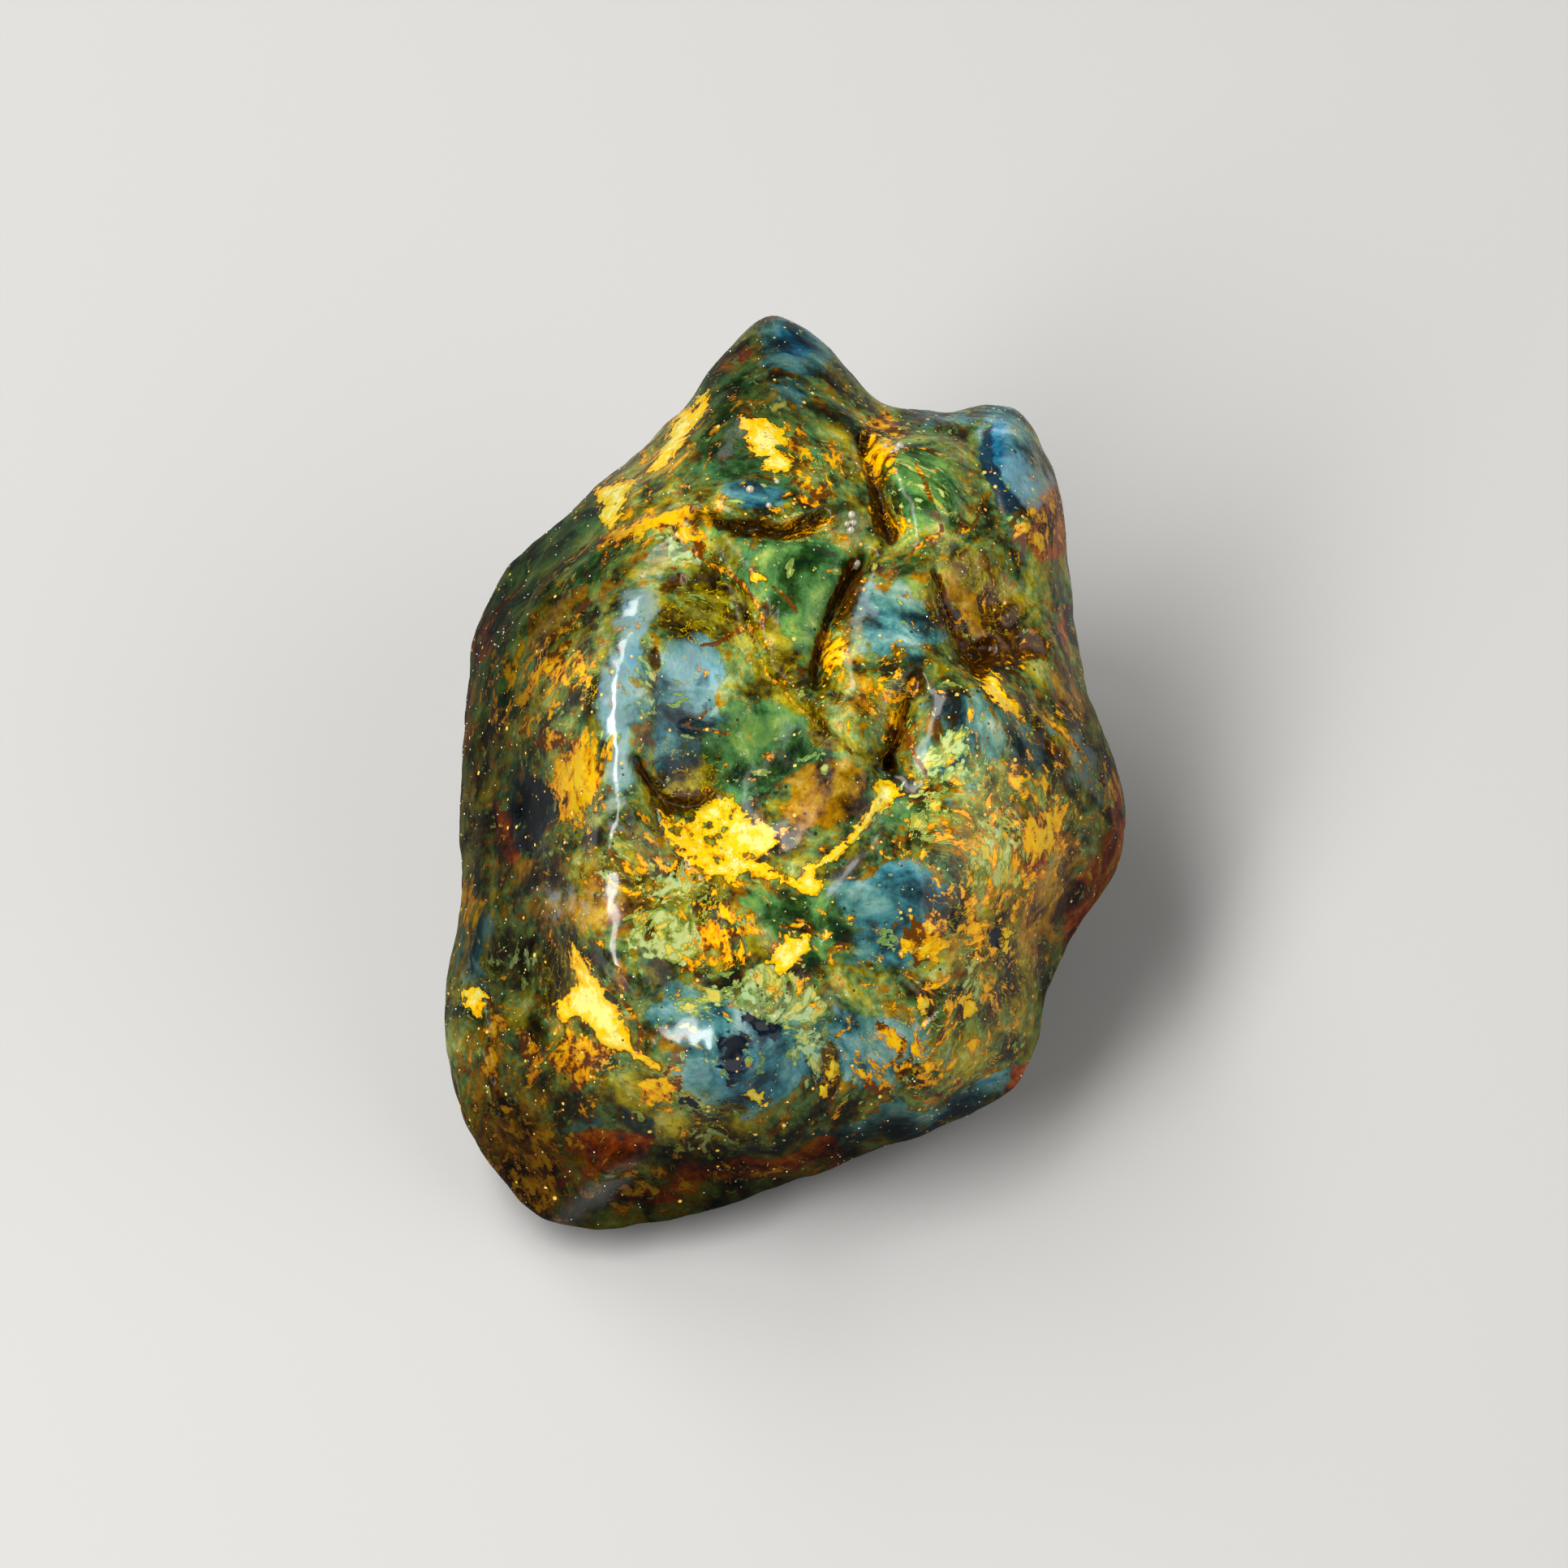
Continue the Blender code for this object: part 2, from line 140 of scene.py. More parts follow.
# Crests (raised) and grooves (cut) of the broad face: path, rise and half-width.
LINES = (
    (((-7.8, 14.4), (-9.4, 10.4), (-10.3, 8.0), (-10.8, 6.0), (-10.9, 2.0), (-10.9, 0.0), (-10.5, -3.0),
      (-11.8, -6.0), (-12.1, -8.0), (-11.4, -10.0), (-9.2, -12.8)), 0.6, 2.4),  # main ridge
    (((-11.2, 14.2), (-8.0, 15.9), (-5.6, 16.6)), 0.6, 1.0),  # crusted edge
    (((5.2, 19.4), (5.7, 16.4), (6.6, 14.4)), -1.2, 0.8),  # cleft left of the knob
    (((4.5, 13.2), (3.6, 11.4), (2.7, 9.4), (1.9, 7.2), (2.2, 5.4)), -1.3, 0.8),  # middle cleft
    (((7.7, 4.4), (7.2, 2.6), (6.5, 0.6)), -1.1, 0.8),  # cleft down to the pit
    (((11.3, 22.6), (12.0, 18.6), (13.1, 15.4), (14.4, 13.4)), -1.8, 1.0),  # between knob and lobe
    (((-16.4, -22.0), (-10.4, -24.6), (-4.4, -22.6), (6.6, -21.4), (13.1, -18.6)), 0.5, 1.2),  # lower edge
    (((-11.0, -24.8), (-13.6, -27.0)), 0.6, 0.9),  # keel under the corner
    (((-18.1, -14.0), (-18.2, -16.5), (-17.8, -19.0)), -0.6, 0.8),  # crease beside the bulge
)

# Ledges of the broad face, which stand up on the left of their path: path, rise, width of the step, and
# how far back from it the rise dies away.
LEDGES = (
    (((-4.6, 15.6), (-1.4, 14.8), (0.9, 15.0), (3.0, 15.2)), 1.3, 0.4, 3.0),  # over the long crack
    (((6.4, 0.2), (4.1, 1.0), (1.6, 3.5), (-1.1, 6.0), (-2.2, 8.8)), -0.9, 0.5, 4.0),  # hollow under the slab
    (((-8.6, 8.4), (-9.2, 4.0), (-9.2, 0.4), (-7.8, -2.0), (-4.6, -2.6)),
     -0.3, 1.6, 3.0),  # foot of the ridge
    (((-8.0, -2.4), (-5.8, -6.0), (-1.6, -7.6), (2.0, -8.0), (5.0, -4.6), (7.4, -1.0)),
     -0.5, 1.1, 3.0),  # lip
    (((9.1, 12.4), (9.9, 9.6), (10.9, 7.4), (12.2, 6.4), (15.2, 4.2)),
     -1.2, 0.6, 3.0),  # edge of right hollow
    (((-7.6, 9.0), (-3.2, 8.0), (-1.2, 9.6), (-4.6, 15.2), (-8.0, 13.8)),
     -0.7, 0.4, 2.5),  # leaf-shaped hollow
)

# Fine crests and grooves, which the solid leaves out: path on the marks' grid, rise and half-width in mm.
HAIRLINES = (
    (((862, 634), (880, 641), (905, 650), (935, 657), (960, 660), (985, 650), (1012, 642)), -1.5, 0.36),
    (((1063, 545), (1072, 570), (1078, 600), (1084, 622), (1092, 650), (1100, 668)), -1.3, 0.42),
    (((1062, 690), (1052, 712), (1036, 738), (1024, 765), (1012, 800), (1006, 825), (1010, 842)),
     -1.5, 0.38),
    (((1122, 868), (1112, 890), (1104, 912), (1096, 940)), -1.1, 0.30),
    (((925, 780), (945, 832), (972, 858), (1000, 884), (1030, 912), (1052, 930), (1085, 946)), -0.55, 0.22),
    (((1150, 708), (1160, 745), (1172, 775), (1186, 802), (1206, 822), (1240, 862), (1275, 888)),
     -0.9, 0.34),
    (((780, 935), (792, 962), (812, 984), (845, 995), (872, 990)), -1.0, 0.34),
    (((800, 990), (818, 1030), (848, 1072), (880, 1092)), -0.55, 0.20),
    (((715, 1425), (735, 1438), (755, 1446), (778, 1440)), -0.7, 0.24),
    (((604, 1225), (612, 1262), (608, 1300), (614, 1335)), -0.6, 0.28),
    (((1012, 1262), (1032, 1285), (1038, 1315), (1026, 1345), (1012, 1368)), -0.7, 0.32),
    (((700, 1158), (722, 1180), (750, 1218), (768, 1236), (786, 1262), (800, 1296)), 0.35, 0.30),
    (((745, 665), (778, 652), (815, 634), (850, 626), (872, 636)), 0.40, 0.35),
    (((846, 650), (858, 682), (890, 700), (918, 724), (938, 758), (920, 780), (870, 794)), 0.26, 0.22),
    (((1125, 575), (1140, 605), (1150, 640), (1160, 660)), 0.10, 0.14),
    (((1115, 692), (1138, 668), (1162, 660), (1190, 655), (1208, 640)), 0.10, 0.14),
    (((880, 876), (845, 896), (905, 906)), -0.30, 0.25),
    (((935, 1134), (960, 1130), (990, 1138), (1010, 1150)), -0.50, 0.25),
    (((870, 1090), (900, 1110), (930, 1140), (950, 1170)), 0.30, 0.30),
    (((1120, 1200), (1140, 1215), (1150, 1240), (1132, 1262)), -0.50, 0.30),
    (((560, 1150), (590, 1160), (620, 1190)), -0.5, 0.35),
)

# Rounded crests the solid leaves out: path on the marks' grid, rise and half-width in mm.
CRESTS = (
    (((800, 735), (776, 765), (762, 800), (752, 845), (750, 900), (752, 960), (757, 1004)),
     0.5, 3.0),  # main ridge
    (((757, 1004), (732, 1040), (712, 1070), (702, 1100), (706, 1130), (722, 1155), (748, 1180), (784, 1210)),
     0.95, 1.7),  # its foot
    (((772, 1442), (742, 1466), (700, 1496)), 0.6, 1.5),  # keel under the corner
    (((888, 1302), (896, 1318)), 2.1, 2.6),  # knob on the lower front
)

# Pits: middle on the marks' grid, radius and depth in mm.
PITS = (
    (1096, 942, 0.55, 1.1), (808, 812, 0.45, 0.7), (1030, 860, 0.35, 0.4), (786, 1460, 0.40, 0.6),
    (632, 1438, 0.40, 0.6), (905, 1300, 0.90, 0.6), (940, 1262, 0.60, 0.4), (658, 1000, 1.30, 0.6),
    (1090, 520, 0.35, 0.4), (1162, 550, 0.30, 0.3), (1148, 575, 0.25, 0.3), (1225, 1152, 0.40, 0.5),
    (1190, 1232, 0.30, 0.4), (1068, 548, 0.50, 0.6), (1200, 722, 0.50, 0.3), (1222, 748, 0.90, 0.5),
    (1244, 770, 0.80, 0.5), (1266, 796, 0.80, 0.6), (1208, 808, 1.00, 1.0), (1190, 775, 0.40, 0.3),
    (1284, 804, 0.50, 0.3), (1130, 842, 0.50, 0.4), (832, 716, 0.60, 0.4), (1046, 700, 0.40, 0.5),
)

# Hollows behind the widest line: centre (x, y, height), radius and depth.
DENTS = (
    ((-9.0, 26.0, 12.0), 7.0, 1.6),
    ((9.0, 27.0, 9.0), 6.5, 1.4),
    ((2.0, 30.0, 17.0), 5.0, 1.2),
    ((-18.0, 8.0, 5.0), 6.0, 1.2),
    ((-18.5, -6.0, 3.0), 5.0, 0.8),
    ((19.5, 10.0, 7.0), 6.5, 1.4),
    ((19.0, -3.0, 4.5), 5.0, 1.0),
    ((14.5, 23.0, 15.0), 4.0, 1.0),
)

GRAIN_SIZE = 7.5  # length of the low swells all over
GRAIN_HEIGHT = 0.5
GRAIN_SHIFT = Vector((3.1, 7.7, 1.3))
RIPPLE_SIZE = 2.1  # length of the small lumps all over
RIPPLE_HEIGHT = 0.11
RIPPLE_SHIFT = Vector((9.4, 2.6, 5.8))
DIMPLE_SIZE = 0.9  # length of the fine unevenness of the skin
DIMPLE_HEIGHT = 0.022
SWELL_MIDDLE = np.array((0.0, 2.0, FACE_HEIGHT - 3.0))  # what the swells rise from
DENT_MIDDLE = np.array((0.0, 2.0, FACE_HEIGHT - 2.0))  # what the hollows sink towards
STIR_SEED = 1  # fixes the pushes that stir the marks, which else change from run to run
FLOW_PUSHES = ((6.0, 1.8), (2.1, 0.55), (0.8, 0.18))  # size and reach of the curls that colours run in
CROWDING = 0.65  # how far the mesh is drawn towards the broad face, where the small forms are
LOWEST = -0.999999  # just short of straight down, where the crowding has no end
SMALL = 1e-9  # these two keep a division away from nothing
TINY = 1e-12

# ---------------------------------------------------------------- marks on the face

GRID_PITCH = 0.05  # millimetres between lines of the marks' grid
GRID_MIDDLE = (968.0, 950.0)  # where the face's middle lies on the grid: across, then down

# How noise pushes the marks about: size and reach in millimetres.
CRACK_STIR = (1.2, 0.30)
NEAR_STIR = (0.9, 0.30)  # for fields that keep close to their drawn places
FAR_STIR = (2.6, 1.0)  # and for the others, on top of that

FLAKE_RISE = 0.04
FLAKE_SLOPE = 0.4  # width over which a flake's edge rises
FIELD_FLATNESS = 1.5
PATCH_SLOPE = 0.3  # width over which a patch's edge fades
PATCH_FULLNESS = 0.9

# Bright yellow crust: outlines on the grid.
FLAKES = (
    ((912, 520), (930, 525), (945, 518), (955, 530), (966, 527), (970, 545), (960, 555), (976, 566),
     (972, 582), (955, 586), (940, 578), (945, 565), (925, 555), (918, 540)),
    ((812, 1000), (830, 1018), (850, 1008), (868, 993), (885, 986), (903, 984), (913, 998), (925, 1010),
     (942, 1012), (956, 1025), (958, 1044), (940, 1050), (932, 1060), (948, 1068), (966, 1081), (940, 1079),
     (915, 1074), (905, 1086), (885, 1076), (862, 1068), (842, 1056), (832, 1042), (820, 1028)),
    ((1078, 962), (1094, 960), (1112, 980), (1096, 990), (1080, 1000), (1066, 1018), (1046, 1042),
     (1022, 1062), (1004, 1070), (1012, 1094), (1000, 1106), (984, 1095), (962, 1085), (985, 1079),
     (996, 1066), (1020, 1054), (1042, 1034), (1060, 1010), (1076, 992)),
    ((702, 1160), (716, 1176), (731, 1196), (746, 1220), (761, 1240), (771, 1264), (781, 1285), (800, 1300),
     (816, 1313), (797, 1308), (778, 1292), (760, 1292), (745, 1284), (735, 1270), (724, 1258), (708, 1254),
     (692, 1258), (677, 1244), (692, 1236), (700, 1225), (713, 1210), (706, 1188)),
    ((945, 1180), (960, 1165), (970, 1150), (984, 1153), (996, 1149), (997, 1166), (985, 1180), (970, 1192),
     (955, 1196), (957, 1183)),
    ((1205, 832), (1214, 845), (1220, 826), (1234, 830), (1240, 850), (1255, 865), (1271, 886), (1250, 879),
     (1230, 866), (1215, 850)),
    ((798, 579), (815, 545), (828, 515), (842, 490), (851, 500), (862, 480), (872, 476), (868, 500),
     (850, 530), (835, 555), (812, 576)),
    ((733, 601), (755, 598), (786, 591), (775, 610), (768, 635), (750, 651), (742, 640), (748, 620),
     (737, 618)),
    ((925, 705), (940, 708), (942, 717), (928, 717)),
    ((1232, 1140), (1242, 1145), (1240, 1172), (1233, 1168)),
    ((574, 1216), (598, 1216), (606, 1238), (592, 1250), (578, 1236)),
    ((1012, 1338), (1021, 1336), (1022, 1349), (1013, 1350)),
    ((918, 1338), (936, 1347), (950, 1352), (934, 1358), (920, 1350)),
    ((1130, 1226), (1146, 1232), (1144, 1250), (1134, 1252)),
    ((1020, 1300), (1033, 1312), (1030, 1330), (1020, 1326)),
    ((1180, 1228), (1192, 1222), (1200, 1240), (1186, 1248)),
)

# Dark dashes through the greatest flake: both ends on the grid and half-width in mm.
DASHES = (
    ((826, 1024), (838, 1021), 0.13), ((826, 1041), (836, 1038), 0.14), ((850, 1024), (856, 1036), 0.11),
    ((868, 1020), (877, 1014), 0.12), ((889, 1021), (891, 1022), 0.17), ((873, 1034), (877, 1038), 0.20),
    ((845, 1057), (860, 1053), 0.12), ((856, 1064), (868, 1070), 0.12), ((912, 1049), (925, 1053), 0.12),
    ((904, 998), (901, 1006), 0.11), ((881, 1050), (886, 1057), 0.12), ((929, 1018), (934, 1014), 0.12),
    ((838, 1048), (846, 1046), 0.10), ((892, 1040), (898, 1034), 0.10),
)

# Orange crust: outlines on the grid.
OCHRES = (
    ((1104, 1140), (1120, 1148), (1118, 1128), (1134, 1138), (1142, 1122), (1150, 1140), (1166, 1132),
     (1160, 1150), (1172, 1160), (1158, 1168), (1152, 1186), (1140, 1176), (1128, 1188), (1124, 1170),
     (1106, 1166), (1116, 1154)),
    ((688, 1290), (700, 1272), (716, 1278), (736, 1282), (754, 1296), (748, 1312), (730, 1318), (722, 1336),
     (706, 1344), (700, 1326), (686, 1318), (680, 1302)),
    ((640, 1268), (656, 1282), (668, 1300), (664, 1322), (654, 1338), (652, 1312), (642, 1296)),
    ((794, 1324), (812, 1334), (830, 1309), (840, 1326), (834, 1346), (814, 1359), (798, 1350)),
    ((694, 925), (714, 912), (730, 925), (742, 950), (738, 975), (722, 990), (708, 1012), (694, 1000),
     (700, 975), (688, 955)),
    ((660, 905), (684, 900), (696, 912), (678, 926), (662, 920)),
    ((668, 812), (690, 800), (704, 818), (694, 842), (676, 838)),
    ((708, 800), (718, 818), (730, 838), (734, 852), (722, 838), (708, 820)),
    ((572, 1086), (584, 1096), (586, 1124), (576, 1138), (570, 1112)),
    ((1070, 556), (1082, 546), (1102, 556), (1098, 576), (1080, 588), (1070, 574)),
    ((1072, 510), (1092, 506), (1112, 516), (1104, 530), (1086, 524), (1076, 522)),
    ((1012, 798), (1028, 790), (1042, 792), (1038, 812), (1026, 832), (1010, 822)),
    ((1272, 1006), (1296, 1000), (1310, 1020), (1300, 1046), (1278, 1052), (1264, 1030)),
    ((1286, 955), (1300, 956), (1304, 970), (1290, 974)),
    ((1250, 950), (1262, 958), (1256, 968), (1244, 962)),
    ((1356, 952), (1368, 960), (1374, 984), (1362, 982)),
    ((1196, 1126), (1206, 1140), (1214, 1160), (1204, 1168), (1196, 1150)),
    ((735, 668), (770, 650), (812, 634), (848, 622), (868, 630), (840, 644), (800, 652), (765, 668),
     (742, 680)),
    ((845, 640), (856, 646), (868, 676), (862, 684), (850, 664)),
    ((972, 540), (988, 520), (992, 536), (984, 548), (996, 560), (976, 560)),
    ((984, 596), (1004, 604), (1022, 600), (1016, 618), (998, 626), (986, 612)),
    ((884, 1108), (906, 1126), (924, 1138), (940, 1150), (916, 1146), (896, 1130)),
    ((862, 1140), (884, 1136), (900, 1146), (892, 1166), (872, 1164)),
    ((1080, 1262), (1098, 1268), (1116, 1284), (1110, 1298), (1096, 1284)),
    ((1060, 1318), (1078, 1326), (1096, 1338), (1082, 1346), (1064, 1334)),
    ((1250, 650), (1268, 640), (1272, 656), (1262, 676), (1252, 668)),
)

# Blue-black resin: outlines on the grid.
NIGHTS = (
    ((634, 970), (650, 956), (674, 966), (684, 986), (676, 1010), (660, 1030), (650, 1056), (642, 1036),
     (650, 1010), (636, 1000)),
    ((885, 1280), (902, 1272), (924, 1278), (916, 1296), (913, 1320), (900, 1336), (895, 1312), (884, 1318),
     (892, 1300)),
    ((914, 1246), (938, 1256), (960, 1264), (962, 1282), (944, 1276), (926, 1268)),
    ((1218, 1146), (1230, 1140), (1234, 1160), (1222, 1164)),
    ((836, 1344), (856, 1352), (868, 1366), (848, 1366)),
)

# Thin orange veins: path on the grid and half-width in mm.
VEINS = (
    (((1125, 575), (1140, 605), (1150, 640), (1160, 660)), 0.11),
    (((1115, 695), (1125, 680), (1140, 668), (1162, 660), (1190, 655), (1205, 640), (1210, 615)), 0.09),
    (((745, 665), (775, 655), (800, 645), (820, 632), (850, 625), (870, 635)), 0.20),
    (((845, 650), (855, 680), (875, 695), (900, 705), (918, 725), (932, 745), (942, 762), (938, 775),
      (915, 780), (885, 795), (865, 798)), 0.13),
    (((952, 722), (970, 736), (982, 752)), 0.10),
    (((880, 875), (862, 888), (845, 895), (870, 900), (900, 905)), 0.08),
    (((925, 780), (945, 832), (972, 858), (1000, 884), (1030, 912), (1052, 930)), 0.07),
    (((1120, 862), (1112, 888), (1118, 905), (1126, 930), (1140, 952)), 0.12),
    (((700, 790), (676, 815), (655, 842), (640, 868)), 0.16),
    (((725, 740), (700, 772), (670, 800), (640, 822)), 0.14),
    (((605, 1230), (612, 1262), (608, 1300), (612, 1332)), 0.18),
    (((765, 1230), (782, 1248), (792, 1272), (786, 1288)), 0.14),
    (((1040, 1270), (1020, 1290), (1016, 1330), (1000, 1345)), 0.08),
    (((1110, 1300), (1090, 1312), (1080, 1330)), 0.12),
    (((1180, 1030), (1190, 1048), (1204, 1052)), 0.10),
    (((1240, 940), (1262, 950), (1284, 968)), 0.10),
    (((660, 740), (690, 705), (724, 672)), 0.14),
    (((594, 770), (612, 742), (640, 716)), 0.16),
    (((1155, 706), (1172, 750), (1190, 790)), 0.10),
    (((950, 1135), (970, 1140), (988, 1138)), 0.10),
    (((716, 1350), (724, 1376), (730, 1400)), 0.10),
    (((1290, 880), (1310, 905), (1330, 925)), 0.10),
)

